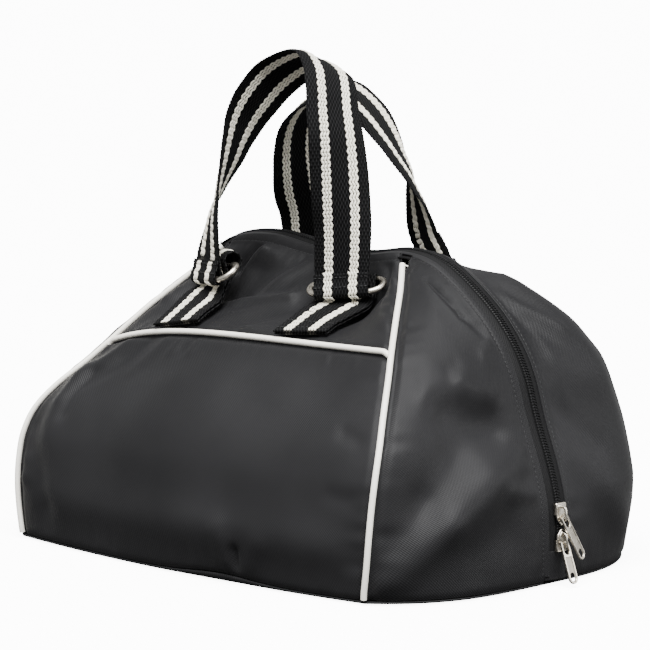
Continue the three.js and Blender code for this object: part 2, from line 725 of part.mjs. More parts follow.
function tab(name, sx, sy) {
  const { surface, outward } = yokeSurfaces[name];
  const rows = TABS[name][sx > 0 ? 'right' : 'left'];
  const onYoke = ({ v, x, lift }, layer) => {
    const spread = surface(1, v).x - surface(0, v).x;
    const u = (x - surface(0, v).x) / spread;
    const half = (sx * WEB_WIDTH) / 2 / spread;
    const wide = surface(u + half, v).sub(surface(u - half, v)).normalize();
    const level = lift + WEB_THICK / 2 + layer * LAYER;
    return { middle: along(surface(u, v), [outward(u, v), level]), wide };
  };
  const axes = ringAxes(sx, sy);
  const [long, short, off] = [axes.long, axes.short, axes.off].map((direction) => mirrored(direction, sx, sy));
  const centre = mirrored(axes.centre, sx, sy);
  const inRing = (place) => ({ middle: along(centre, [short, place.short], [off, place.off]), wide: long });
  const loopMiddle = along(mirrored(axes.farBar, sx, sy), [off, axes.loop]);
  const turns = foldTurns(loopMiddle, off.clone().negate(), short, radians(225), 7, FOLD_RADIUS + axes.loop);
  return band([
    ...rows.map((row) => onYoke(row, 0)),
    ...TAB_UNDER.map(inRing),
    ...turns.map((middle) => ({ middle, wide: long })),
    ...TAB_OVER.map(inRing),
    ...rows.toReversed().map((row) => onYoke(row, 1)),
  ]);
}

for (const { name, sy } of HALVES) {
  for (const { name: end, sx } of ENDS) {
    addPiece(`ring_${end}_${name}`, ring(sx, sy), MATERIALS.nickel);
    addPiece(`tab_${end}_${name}`, tab(name, sx, sy), MATERIALS.webbing);
  }
}

// Sliders and pulls

function solid(geometry) {
  const bare = stripToPositions(geometry);
  const vertProperties = new Float32Array(bare.getAttribute('position').array);
  const triVerts = new Uint32Array(bare.getIndex().array);
  return new wasm.Manifold(new wasm.Mesh({ numProp: 3, vertProperties, triVerts }));
}

function fromSolid(whole) {
  const mesh = whole.getMesh();
  const geometry = new THREE.BufferGeometry();
  geometry.setAttribute('position', new THREE.BufferAttribute(mesh.vertProperties, 3));
  geometry.setIndex(new THREE.BufferAttribute(mesh.triVerts, 1));
  geometry.computeVertexNormals();
  return geometry;
}

// Frame at a height on the right end: X across the zip, Y up along it, Z outwards
function endFrame(height) {
  const share = zipShare((p) => p.x > 200 && p.z <= height);
  const { middle, tangent, out } = zipFrame(share);
  const up = tangent.clone().negate();
  return new THREE.Matrix4().makeBasis(up.clone().cross(out), up, out).setPosition(middle);
}

function sliderBody(pointEnd) {
  const { length, half, plate, lift, bridgeHalf, bridgeSpan, bridgeRise } = SLIDER;
  const tip = (pointEnd * length) / 2;
  const shape = new THREE.Shape();
  shape.moveTo(-half, -tip);
  shape.lineTo(half, -tip);
  shape.lineTo(half, tip * 0.15);
  shape.quadraticCurveTo(half * 0.8, tip * 0.8, half * 0.25, tip);
  shape.lineTo(-half * 0.25, tip);
  shape.quadraticCurveTo(-half * 0.8, tip * 0.8, -half, tip * 0.15);
  const face = new THREE.ExtrudeGeometry(shape, { depth: plate, bevelEnabled: false, curveSegments: 4 });
  face.translate(0, 0, lift);

  const arch = new THREE.Shape();
  const foot = bridgeSpan / 2;
  const floor = lift + plate / 2;
  const thick = 1.4;
  arch.moveTo(-foot, floor);
  arch.quadraticCurveTo(-foot, bridgeRise, -foot + 3, bridgeRise);
  arch.lineTo(foot - 3, bridgeRise);
  arch.quadraticCurveTo(foot, bridgeRise, foot, floor);
  arch.lineTo(foot - thick, floor);
  arch.quadraticCurveTo(foot - thick, bridgeRise - thick, foot - 3, bridgeRise - thick);
  arch.lineTo(-foot + 3, bridgeRise - thick);
  arch.quadraticCurveTo(-foot + thick, bridgeRise - thick, -foot + thick, floor);
  const bridge = new THREE.ExtrudeGeometry(arch, { depth: 2 * bridgeHalf, bevelEnabled: false, curveSegments: 4 });
  bridge.applyMatrix4(new THREE.Matrix4().makeBasis(point(0, 1, 0), point(0, 0, 1), point(1, 0, 0)));
  bridge.translate(-bridgeHalf, 0, 0);

  const flangeWidth = 1.2;
  const flangeHeight = lift + plate / 2 - SEAM_GAP;
  let whole = solid(face).add(solid(bridge));
  for (const side of [-1, 1]) {
    const flange = new THREE.BoxGeometry(flangeWidth, length * 0.5, flangeHeight);
    flange.translate(side * (half - flangeWidth / 2), -tip * 0.45, SEAM_GAP + flangeHeight / 2);
    whole = whole.add(solid(flange));
  }
  return fromSolid(whole);
}

function pullBody(length) {
  const { half, thick, bar, eye, hole } = PULL;
  const shape = new THREE.Shape();
  const neck = half * 0.95;
  shape.moveTo(neck, bar);
  shape.lineTo(-neck, bar);
  shape.lineTo(-half, -length * 0.5);
  shape.lineTo(-half, -length + half);
  shape.absarc(0, -length + half, half, Math.PI, 2 * Math.PI, false);
  shape.lineTo(half, -length * 0.5);
  const slot = new THREE.Path();
  const slotHalf = neck - 1.15;
  slot.moveTo(-slotHalf, -bar);
  slot.lineTo(slotHalf, -bar);
  slot.lineTo(slotHalf, -eye + slotHalf);
  slot.absarc(0, -eye + slotHalf, slotHalf, 0, -Math.PI, true);
  shape.holes.push(slot);
  const end = new THREE.Path();
  end.absarc(0, -length + half + 0.4, hole, 0, 2 * Math.PI);
  shape.holes.push(end);
  const geometry = new THREE.ExtrudeGeometry(shape, { depth: thick, bevelEnabled: false, curveSegments: 6 });
  return stripToPositions(geometry.translate(0, 0, -thick / 2));
}

for (const [name, place] of Object.entries(SLIDERS)) {
  const slider = addPiece(`slider_${name}`, sliderBody(place.point), MATERIALS.nickel);
  slider.applyMatrix4(endFrame(place.z));
}

for (const [name, place] of Object.entries(PULLS)) {
  const pull = addPiece(`pull_${name}`, pullBody(place.length), MATERIALS.nickel);
  const swing = new THREE.Matrix4().makeTranslation(0, 0, PIVOT_LEVEL);
  swing.multiply(new THREE.Matrix4().makeRotationZ(radians(place.aside)));
  swing.multiply(new THREE.Matrix4().makeRotationX(radians(-place.lean)));
  pull.applyMatrix4(endFrame(place.z).multiply(swing));
}

export default bag;
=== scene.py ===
# %% [markdown]
# # Helmet bag
# A soft zipped holdall of black twill nylon. Cream piping marks its seams, two striped webbing handles
# hang from metal rings, and a long zip runs over its ridge from end to end. Every length below is in
# millimetres, in the frame of the solids: X along the bag, the front towards -Y, Z up, and the base on
# the floor at Z 0.

# %% Frame
import math

import bpy
import numpy as np
from mathutils import Matrix


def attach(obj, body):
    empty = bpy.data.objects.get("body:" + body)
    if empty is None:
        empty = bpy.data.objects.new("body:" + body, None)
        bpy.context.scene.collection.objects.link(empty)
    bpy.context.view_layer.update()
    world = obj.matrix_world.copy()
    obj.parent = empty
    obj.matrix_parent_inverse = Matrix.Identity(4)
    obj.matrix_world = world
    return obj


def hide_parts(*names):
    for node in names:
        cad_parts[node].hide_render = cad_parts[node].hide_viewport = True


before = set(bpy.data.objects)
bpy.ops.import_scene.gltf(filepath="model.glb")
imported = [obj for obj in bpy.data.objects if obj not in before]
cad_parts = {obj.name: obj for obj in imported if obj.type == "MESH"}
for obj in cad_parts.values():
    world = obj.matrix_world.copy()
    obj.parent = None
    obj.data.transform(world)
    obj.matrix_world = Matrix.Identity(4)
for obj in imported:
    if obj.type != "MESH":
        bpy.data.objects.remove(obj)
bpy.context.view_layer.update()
MM = 0.001

# %% [markdown]
# ## Driving sizes
# The seams carry the whole shape: four corner seams, two level seams between the panels and the yokes,
# and the zip. Each is a short table of points with named columns, and a smooth line runs through them.
# The pieces are then filled in between the seams, so one table row moves every piece that is sewn there.

# %% Sizes
CLOTH = 1.2                  # cloth of the walls, with its coating
PIPING_RADIUS = 2.05
SEAM_GAP = 0.3
BASE_SEAM = 6                # height at which the walls meet the base
WEB_WIDTH = 40
WEB_THICK = 1.8
WEB_GAP = 0.35
RIB = 2.5                    # pitch of the ribs across the webbing
THREAD_WIDE = 1.15           # width of a thread in the middle of the webbing
STRIPE = 9.2                 # from the middle of the webbing to a stripe's middle
STRIPE_HALF = 3.2
CREAM_HALF = 2.6             # half width of a stripe's cream ground
CREAM_EDGE = 0.3             # over which that ground fades out
ZIP_HALF = 12
TAPE_THICK = 1.2
TAPE_DROP = 2.5
CHAIN_HALF = 3
CHAIN_END = 22
END_REACH = 200              # beyond this X the zip runs down the right end
LEFT_SAG = 18.5
BASE_BOW = 13                # how far the base's long sides bow out
LEVEL_BOW = 8                # the same for the level seams
JOINT_ROW = 8                # corner row at which the level seam meets the corner seam
ROW_STEPS = 20               # steps of a corner seam from row to row

# height, half length and half depth at the front, the same at the back, share of the left sag
CORNER_ROWS = np.array([
    (6, 165.5, 137, 162, 125.5, 0),
    (23, 168, 137.3, 165.5, 127, 0),
    (40, 169.5, 137, 167.5, 127, 0),
    (60, 170, 135, 167, 125, 0.15),
    (80, 169.5, 131, 165.5, 121.5, 0.32),
    (100, 166, 123, 162.5, 115, 0.49),
    (120, 157.5, 110, 157, 105, 0.71),
    (140, 145, 92, 150, 92, 0.89),
    (155, 136, 79.5, 143, 82, 1),
    (172, 119, 57, 127, 61, 0.6),
    (189, 101, 33, 106, 36, 0.27),
    (206, 84, 12.3, 84, 12.3, 0),
], float)

# zip from the middle of the ridge to an end's foot: length, height, how much lower the left end lies
ZIP_ROWS = np.array([
    (0, 210, 0), (42, 207.5, -8), (82, 212, 1.5), (113, 206, 15), (145, 185.5, 16), (168, 163, 10),
    (183, 139, 4), (193.5, 108, 0), (205, 78, 0), (211.5, 54, 0), (213, 30, 0), (213, 6, 0),
], float)

HALVES = {"front": -1, "back": 1}
ENDS = {"right": 1, "left": -1}

# %% Smooth lines
def unit(vectors):
    """Directions of unit length."""
    return vectors / np.maximum(np.linalg.norm(vectors, axis=-1, keepdims=True), 1e-12)


def mix(a, b, share):
    """From a to b by a share of each place."""
    return a + (b - a) * share


def point(x, y, z):
    """Places from coordinates that may be single values or arrays."""
    return np.stack(np.broadcast_arrays(x, y, z), axis=-1).astype(float)


class Line:
    """A smooth line through points, measured along its length."""

    def __init__(self, points, divisions=220):
        self.points = np.asarray(points, float)
        self.places = np.linspace(0, 1, divisions + 1)
        steps = np.linalg.norm(np.diff(self.at(self.places), axis=0), axis=1)
        self.lengths = np.concatenate([[0], np.cumsum(steps)])

    def at(self, place):
        rows = self.points
        padded = np.vstack([2 * rows[0] - rows[1], rows, 2 * rows[-1] - rows[-2]])
        run = np.clip(np.asarray(place, float), 0, 1) * (len(rows) - 1)
        i = np.minimum(run.astype(int), len(rows) - 2)
        w = (run - i)[..., None]
        a, b, c, d = (padded[i + k] for k in range(4))
        t0 = 0.5 * (c - a)
        t1 = 0.5 * (d - b)
        return b + t0 * w + (3 * (c - b) - 2 * t0 - t1) * w**2 + (2 * (b - c) + t0 + t1) * w**3

    def place(self, share):
        return np.interp(np.asarray(share, float) * self.lengths[-1], self.lengths, self.places)

    def along(self, share):
        return self.at(self.place(share))

    def tangent(self, share):
        place = self.place(share)
        return unit(self.at(place + 1e-4) - self.at(place - 1e-4))


# %% Seams
def corner(row, sy):
    """Half length and half depth of a corner row in the front or the back half."""
    return (row[1], row[2]) if sy < 0 else (row[3], row[4])


def corner_seam(sx, sy):
    """A corner seam from the base to the zip."""
    rows = []
    for row in CORNER_ROWS:
        x, y = corner(row, sy)
        drop = LEFT_SAG * row[5] if sx < 0 else 0
        rows.append((sx * x, sy * y, row[0] - drop))
    return Line(rows, ROW_STEPS * (len(rows) - 1))


def joint_share(seam):
    """Share of a corner seam's length below its joint with the level seam."""
    return seam.lengths[ROW_STEPS * JOINT_ROW] / seam.lengths[-1]


zip_right = [(x, 0, z) for x, z, _ in ZIP_ROWS]
zip_left = [(-x, 0, z - left) for x, z, left in ZIP_ROWS[:0:-1]]
ZIP = Line(zip_left + zip_right, 400)


def zip_frame(share):
    """Middle of the zip, its run towards the right end, and the way out of the bag."""
    run = ZIP.tangent(share)
    return ZIP.along(share), run, point(-run[..., 2], 0, run[..., 0])


def zip_edge(share, sy):
    """The seam beside the zip in the front or the back half."""
    middle, _, out = zip_frame(share)
    edge = middle - out * TAPE_DROP
    edge[..., 1] = sy * (ZIP_HALF + SEAM_GAP)
    return edge


def zip_share(reached):
    """Share of the zip at which a test on its middle first holds, from the ridge to the right end."""
    shares = np.linspace(0.5, 1, 2001)
    return shares[np.argmax(reached(ZIP.along(shares)))]


APEX = zip_share(lambda p: p[:, 0] >= CORNER_ROWS[-1][1])
CHAIN_STOP = zip_share(lambda p: (p[:, 0] > END_REACH) & (p[:, 2] <= CHAIN_END))


def base_side(u, sy):
    """The base's long side in the front or the back half."""
    x0, y0 = corner(CORNER_ROWS[0], sy)
    x = mix(-x0, x0, u)
    return point(x, sy * (y0 + BASE_BOW * (1 - (x / x0) ** 2)), BASE_SEAM)


def base_end(y, sx):
    """The base's short side, which swells out to the zip's foot."""
    half = np.where(y < 0, CORNER_ROWS[0][2], CORNER_ROWS[0][4])
    foot = np.where(y < 0, CORNER_ROWS[0][1], CORNER_ROWS[0][3])
    swell = 1 - np.abs(y / half) ** np.where(y < 0, 4, 3)
    return point(sx * mix(foot, ZIP_ROWS[-1][0] - TAPE_DROP, swell), y, BASE_SEAM)


def level_seam(u, sy):
    """The seam between a panel and its yoke, which sags to the left."""
    row = CORNER_ROWS[JOINT_ROW]
    x0, y0 = corner(row, sy)
    x = mix(-x0, x0, u)
    return point(x, sy * (y0 + LEVEL_BOW * (1 - (x / x0) ** 2)), row[0] - LEFT_SAG * (1 - u) ** 5)


SEAMS = {(end, half): corner_seam(sx, sy) for end, sx in ENDS.items() for half, sy in HALVES.items()}
seam_length_right = round(SEAMS["right", "front"].lengths[-1])
print("zip length", round(ZIP.lengths[-1]), "mm, corner seam", seam_length_right, "mm")

# %% [markdown]
# ## Making meshes
# A few small helpers turn grids of points into closed pieces. A wall has an outer and an inner side,
# joined round its edges. A tube or a band is a row of equal rings with both ends closed. Each point also
# gets a place on the flat cloth, in metres, so that weave and ribs keep their size and follow the
# surface.

# %% Mesh helpers
def make_object(name, data):
    """A new object in the scene."""
    obj = bpy.data.objects.new(name, data)
    bpy.context.scene.collection.objects.link(obj)
    return obj


def frame_matrix(x, y, z, origin):
    """Placement with the given axes and origin."""
    axes = np.eye(4)
    axes[:3] = np.stack([x, y, z, origin], axis=1)
    return Matrix(axes.tolist())


def dressed_object(name, verts, faces, material, flat=None):
    """A smooth-shaded object from points in millimetres, with its places on the flat cloth."""
    mesh = bpy.data.meshes.new(name)
    mesh.from_pydata((np.asarray(verts, float) * MM).tolist(), [], faces)
    if flat is not None:
        layer = mesh.uv_layers.new(name="UVMap")
        loops = np.empty(len(mesh.loops), int)
        mesh.loops.foreach_get("vertex_index", loops)
        layer.data.foreach_set("uv", (np.asarray(flat, float) * MM)[loops].ravel())
    mesh.polygons.foreach_set("use_smooth", np.ones(len(mesh.polygons), bool))
    mesh.materials.append(material)
    mesh.validate()
    return make_object(name, mesh)


def make_piece(name, verts, faces, material, flat=None):
    """A dressed object whose faces are turned outwards."""
    verts = np.asarray(verts, float)
    faces = np.asarray(faces)
    corners = [verts[faces[:, k]] for k in range(3)]
    volume = np.einsum("ij,ij->", corners[0], np.cross(corners[1], corners[2]))
    if faces.shape[1] == 4:
        corners = [verts[faces[:, k]] for k in (0, 2, 3)]
        volume += np.einsum("ij,ij->", corners[0], np.cross(corners[1], corners[2]))
    if volume < 0:
        faces = faces[:, ::-1]
    return dressed_object(name, verts, faces.tolist(), material, flat)


def grid_faces(columns, rows, start=0):
    """Faces of an open grid of points."""
    i, j = np.meshgrid(np.arange(columns - 1), np.arange(rows - 1), indexing="ij")
    a = (start + i * rows + j).ravel()
    return np.stack([a, a + rows, a + rows + 1, a + 1], axis=1)


def wall_mesh(outer, inner):
    """Points and faces of a wall between two grids, closed round its edges."""
    columns, rows = outer.shape[:2]
    size = columns * rows
    edge = [(i, 0) for i in range(columns)] + [(columns - 1, j) for j in range(1, rows)]
    edge += [(i, rows - 1) for i in range(columns - 2, -1, -1)] + [(0, j) for j in range(rows - 2, 0, -1)]
    loop = np.array([i * rows + j for i, j in edge])
    following = np.roll(loop, -1)
    rim = np.stack([loop, loop + size, following + size, following], axis=1)
    faces = np.vstack([grid_faces(columns, rows), grid_faces(columns, rows, size)[:, ::-1], rim])
    return np.vstack([outer.reshape(-1, 3), inner.reshape(-1, 3)]), faces


def ring_faces(count, size, closed=False):
    """Faces between neighbours in a row of rings; the row itself may close to a loop."""
    i, j = np.meshgrid(np.arange(count if closed else count - 1), np.arange(size), indexing="ij")
    ahead = (i + 1) % count
    k = (j + 1) % size
    faces = np.stack([i * size + j, i * size + k, ahead * size + k, ahead * size + j], axis=-1)
    return faces.reshape(-1, 4)


def tube_mesh(rings):
    """Points and faces through a row of rings, with both ends closed across."""
    count, size = rings.shape[:2]
    faces = ring_faces(count, size)
    ends = []
    for ring, turn in ((0, 1), (count - 1, -1)):
        loop = ring * size + np.arange(size)
        for step in range(size // 2 - 1):
            strip = [loop[step], loop[step + 1], loop[size - 2 - step], loop[size - 1 - step]]
            ends.append(strip[::-1] if turn > 0 else strip)
    return rings.reshape(-1, 3), np.vstack([faces, np.array(ends)])


# %% [markdown]
# ## Finishes
# Cloth shows its weave when light grazes it, so each fabric has threads in its bump and in its colour, at
# the real pitch. Two effects are shared by several fabrics and are built once as groups: the threads
# themselves, and the slow change of tone that handling leaves on cloth.

# %% Shader groups
def node(tree, kind, **values):
    """A new node; keys that name an input set that input, and the others set a property."""
    made = tree.nodes.new(kind)
    for key, value in values.items():
        name = key.replace("_", " ")
        if name in made.inputs:
            made.inputs[name].default_value = value
        else:
            setattr(made, key, value)
    return made


def math_node(tree, operation, a, b=None):
    """Output of a calculation on sockets or plain numbers."""
    made = tree.nodes.new("ShaderNodeMath")
    made.operation = operation
    for socket, value in zip(made.inputs, (a, b)):
        if value is None:
            continue
        if isinstance(value, (int, float)):
            socket.default_value = value
        else:
            tree.links.new(value, socket)
    return made.outputs[0]


def new_group(name, inputs, outputs, kind="ShaderNodeTree"):
    """An empty group with its sockets, and the outputs and inputs to link inside it."""
    tree = bpy.data.node_groups.new(name, kind)
    for label, socket, value in inputs:
        made = tree.interface.new_socket(label, in_out="INPUT", socket_type=socket)
        if value is not None:
            made.default_value = value
    for label, socket in outputs:
        tree.interface.new_socket(label, in_out="OUTPUT", socket_type=socket)
    return tree, tree.nodes.new("NodeGroupInput").outputs, tree.nodes.new("NodeGroupOutput").inputs


def thread_group():
    """Slanted threads crossed by finer ones."""
    tree, given, out = new_group(
        "crossed threads",
        [("Vector", "NodeSocketVector", None), ("Pitch", "NodeSocketFloat", 0.001),
         ("Turn", "NodeSocketFloat", 0.8), ("Crossing", "NodeSocketFloat", 0.4)],
        [("Height", "NodeSocketFloat"), ("Tone", "NodeSocketFloat")],
    )
    parts = tree.nodes.new("ShaderNodeSeparateXYZ")
    tree.links.new(given["Vector"], parts.inputs[0])
    cos = math_node(tree, "COSINE", given["Turn"])
    sin = math_node(tree, "SINE", given["Turn"])
    slant = math_node(
        tree, "ADD", math_node(tree, "MULTIPLY", parts.outputs[0], cos),
        math_node(tree, "MULTIPLY", parts.outputs[1], sin))
    cross = math_node(
        tree, "SUBTRACT", math_node(tree, "MULTIPLY", parts.outputs[1], cos),
        math_node(tree, "MULTIPLY", parts.outputs[0], sin))
    rate = math_node(tree, "DIVIDE", 2 * math.pi, given["Pitch"])
    ridge = math_node(tree, "SINE", math_node(tree, "MULTIPLY", slant, rate))
    finer_rate = math_node(tree, "MULTIPLY", rate, 0.62)
    finer = math_node(tree, "SINE", math_node(tree, "MULTIPLY", cross, finer_rate))
    both = math_node(tree, "ADD", ridge, math_node(tree, "MULTIPLY", finer, given["Crossing"]))
    height = math_node(tree, "MULTIPLY_ADD", both, 0.35)
    height.node.inputs[2].default_value = 0.5
    tree.links.new(height, out["Height"])
    tone = math_node(tree, "POWER", math_node(tree, "MAXIMUM", height, 0.0), 1.5)
    tree.links.new(tone, out["Tone"])
    return tree


def handling_group():
    """Slow drifts of tone and finer specks, each from 0 to 1."""
    tree, given, out = new_group(
        "handled cloth",
        [("Vector", "NodeSocketVector", None), ("Drift", "NodeSocketFloat", 9.0),
         ("Speck", "NodeSocketFloat", 900.0)],
        [("Drift", "NodeSocketFloat"), ("Speck", "NodeSocketFloat")],
    )
    for label, detail in (("Drift", 3.0), ("Speck", 1.0)):
        noise = node(tree, "ShaderNodeTexNoise", Detail=detail)
        tree.links.new(given["Vector"], noise.inputs["Vector"])
        tree.links.new(given[label], noise.inputs["Scale"])
        tree.links.new(noise.outputs["Fac"], out[label])
    return tree


THREADS = thread_group()
HANDLING = handling_group()
print("shader groups", THREADS.name, "and", HANDLING.name)


# %% Fabric finishes
def new_material(name, **values):
    """A material with constants on its shader's own sockets."""
    material = bpy.data.materials.new(name)
    material.use_nodes = True
    shader = material.node_tree.nodes["Principled BSDF"]
    for key, value in values.items():
        shader.inputs[key.replace("_", " ")].default_value = value
    return material, material.node_tree, shader


def placed_group(tree, group, **values):
    """A group set into a finish, with values on its inputs."""
    made = tree.nodes.new("ShaderNodeGroup")
    made.node_tree = group
    for key, value in values.items():
        made.inputs[key].default_value = value
    return made


def blend_colours(tree, factor, a, b):
    """Colour that goes from a to b with a factor; each may be a colour or a socket."""
    made = node(tree, "ShaderNodeMix", data_type="RGBA")
    tree.links.new(factor, made.inputs[0])
    for socket, value in ((made.inputs[6], a), (made.inputs[7], b)):
        if isinstance(value, tuple):
            socket.default_value = (*value, 1)
        else:
            tree.links.new(value, socket)
    return made.outputs[2]


def ranged(tree, value, low, high, to_low, to_high):
    """A value carried from one range to another."""
    made = node(tree, "ShaderNodeMapRange", From_Min=low, From_Max=high, To_Min=to_low, To_Max=to_high)
    tree.links.new(value, made.inputs["Value"])
    return made.outputs["Result"]


def drifted(tree, handled, low, high):
    """A value that follows the slow drift of handled cloth."""
    return ranged(tree, handled.outputs["Drift"], 0.3, 0.7, low, high)


def fabric(name, dark, light, pitch, turn, depth, roughness, source="UV", **constants):
    """A woven finish: two tones that follow the threads and the handling, with the threads as bump."""
    material, tree, shader = new_material(name, **constants)
    place = tree.nodes.new("ShaderNodeTexCoord")
    threads = placed_group(tree, THREADS, Pitch=pitch, Turn=turn)
    tree.links.new(place.outputs[source], threads.inputs["Vector"])
    handled = placed_group(tree, HANDLING)
    tree.links.new(place.outputs["Object"], handled.inputs["Vector"])
    drift = drifted(tree, handled, 0.0, 1.0)
    tone = math_node(tree, "MULTIPLY_ADD", threads.outputs["Tone"], 0.55)
    tree.links.new(math_node(tree, "MULTIPLY", drift, 0.3), tone.node.inputs[2])
    colour = blend_colours(tree, tone, dark, light)
    tree.links.new(colour, shader.inputs["Base Color"])
    rough = drifted(tree, handled, roughness - 0.06, roughness + 0.06)
    tree.links.new(rough, shader.inputs["Roughness"])
    height = math_node(tree, "MULTIPLY_ADD", handled.outputs["Speck"], 0.25)
    tree.links.new(threads.outputs["Height"], height.node.inputs[2])
    bump = node(tree, "ShaderNodeBump", Strength=0.6, Distance=depth)
    tree.links.new(height, bump.inputs["Height"])
    tree.links.new(bump.outputs["Normal"], shader.inputs["Normal"])
    return material


NYLON = fabric(
    "black twill nylon", (0.0060, 0.0060, 0.0064), (0.0236, 0.0234, 0.0246),
    pitch=0.0011, turn=0.95, depth=0.0002, roughness=0.42,
    Specular_IOR_Level=0.08, Sheen_Weight=0.04, Sheen_Roughness=0.3)
PIPING = fabric(
    "cream piping cloth", (0.90, 0.865, 0.775), (1.0, 0.975, 0.90),
    pitch=0.0009, turn=0.75, depth=0.00012, roughness=0.34, source="Object", Specular_IOR_Level=0.6)
TAPE = fabric(
    "black zip tape", (0.0018, 0.0018, 0.0020), (0.0060, 0.0060, 0.0064),
    pitch=0.0013, turn=0.7, depth=0.00018, roughness=0.70, Specular_IOR_Level=0.15)
COIL = fabric(
    "black zip coil", (0.0016, 0.0016, 0.0018), (0.0045, 0.0045, 0.0050),
    pitch=0.0010, turn=0.2, depth=0.00005, roughness=0.45, source="Object", Specular_IOR_Level=0.15)
THREAD = fabric(
    "black sewing thread", (0.0043, 0.0043, 0.0046), (0.0121, 0.0121, 0.0128),
    pitch=0.0006, turn=0.6, depth=0.00008, roughness=0.55, source="Object", Specular_IOR_Level=0.4)
YARN = fabric(
    "cream stripe yarn", (0.72, 0.68, 0.56), (1.0, 0.97, 0.87),
    pitch=0.0011, turn=0.35, depth=0.00016, roughness=0.6, source="Object",
    Specular_IOR_Level=0.4, Sheen_Weight=0.2)


# %% Webbing and metal finishes
def webbing_finish():
    """Black webbing of staggered threads, with a dim cream ground, darkened as painted shade between the
    strands, where the flat cloth's X lies on a stripe.
    """
    material, tree, shader = new_material("black webbing", Specular_IOR_Level=0.05, Sheen_Weight=0.01)
    place = tree.nodes.new("ShaderNodeTexCoord")
    handled = placed_group(tree, HANDLING, Speck=1500.0)
    tree.links.new(place.outputs["Object"], handled.inputs["Vector"])
    parts = tree.nodes.new("ShaderNodeSeparateXYZ")
    tree.links.new(place.outputs["UV"], parts.inputs[0])
    column = math_node(tree, "DIVIDE", math_node(tree, "ADD", parts.outputs[0], 0.1), THREAD_WIDE * MM)
    odd = math_node(tree, "MODULO", math_node(tree, "FLOOR", column), 2.0)
    phase = math_node(
        tree, "ADD", math_node(tree, "MULTIPLY", parts.outputs[1], math.pi / (2 * RIB * MM)),
        math_node(tree, "MULTIPLY", odd, math.pi / 2))
    along = math_node(tree, "ABSOLUTE", math_node(tree, "SINE", phase))
    over = math_node(tree, "MULTIPLY", column, math.pi)
    across = math_node(tree, "ABSOLUTE", math_node(tree, "SINE", over))
    tone = math_node(tree, "POWER", math_node(tree, "MULTIPLY", along, across), 2.0)
    black = blend_colours(tree, tone, (0.0008, 0.0008, 0.0009), (0.0175, 0.0175, 0.0180))
    # the stripes' cream ground, far darker than the yarn: painted shade in the gaps between the strands
    cream = blend_colours(tree, tone, (0.016, 0.015, 0.013), (0.09, 0.085, 0.075))
    side = math_node(tree, "ABSOLUTE", parts.outputs[0])
    off = math_node(tree, "ABSOLUTE", math_node(tree, "SUBTRACT", side, STRIPE * MM))
    stripe = ranged(tree, off, (CREAM_HALF + CREAM_EDGE) * MM, CREAM_HALF * MM, 0.0, 1.0)
    colour = blend_colours(tree, stripe, black, cream)
    tree.links.new(colour, shader.inputs["Base Color"])
    rough = drifted(tree, handled, 0.72, 0.88)
    tree.links.new(rough, shader.inputs["Roughness"])
    bump = node(tree, "ShaderNodeBump", Strength=0.5, Distance=0.0002)
    tree.links.new(handled.outputs["Speck"], bump.inputs["Height"])
    tree.links.new(bump.outputs["Normal"], shader.inputs["Normal"])
    return material


def metal_finish(name, dark, light, roughness, bump):
    """Pale plate with fine scuffs and duller patches."""
    material, tree, shader = new_material(name, Metallic=1.0)
    place = tree.nodes.new("ShaderNodeTexCoord")
    handled = placed_group(tree, HANDLING, Drift=160.0, Speck=2600.0)
    tree.links.new(place.outputs["Object"], handled.inputs["Vector"])
    colour = blend_colours(tree, handled.outputs["Drift"], dark, light)
    tree.links.new(colour, shader.inputs["Base Color"])
    rough = drifted(tree, handled, roughness - 0.08, roughness + 0.08)
    tree.links.new(rough, shader.inputs["Roughness"])
    grain = node(tree, "ShaderNodeBump", Strength=bump, Distance=0.00005)
    tree.links.new(handled.outputs["Speck"], grain.inputs["Height"])
    tree.links.new(grain.outputs["Normal"], shader.inputs["Normal"])
    return material


WEBBING = webbing_finish()
NICKEL = metal_finish(
    "nickel plate", (0.50, 0.46, 0.39), (0.74, 0.70, 0.62), roughness=0.28, bump=0.15)
# the sunk middle of a pull: rougher, grainier nickel, and darker than the plate as painted shade in the
# recess
SUNK_NICKEL_PAINTED_SHADE = metal_finish(
    "sunk nickel with painted shade", (0.24, 0.22, 0.185), (0.52, 0.49, 0.43), roughness=0.45, bump=0.6)
print("finishes", [material.name for material in bpy.data.materials])

# %% [markdown]
# ## Paths with repeats
# Stitches, zip teeth and the braid of the stripes are one small shape repeated along a path. A node tree
# does this: it takes a path whose points know the way out of the cloth, spaces places along it, sets a
# drop-shaped bead at each, and turns the bead to the path. Piping is made by a second tree, a round cord
# swept along a path.

# %% Node trees
BEAD_SIDES = 8
BEAD_RINGS = 5
BEAD_FACES = BEAD_SIDES * BEAD_RINGS
CORD_SIDES = 14


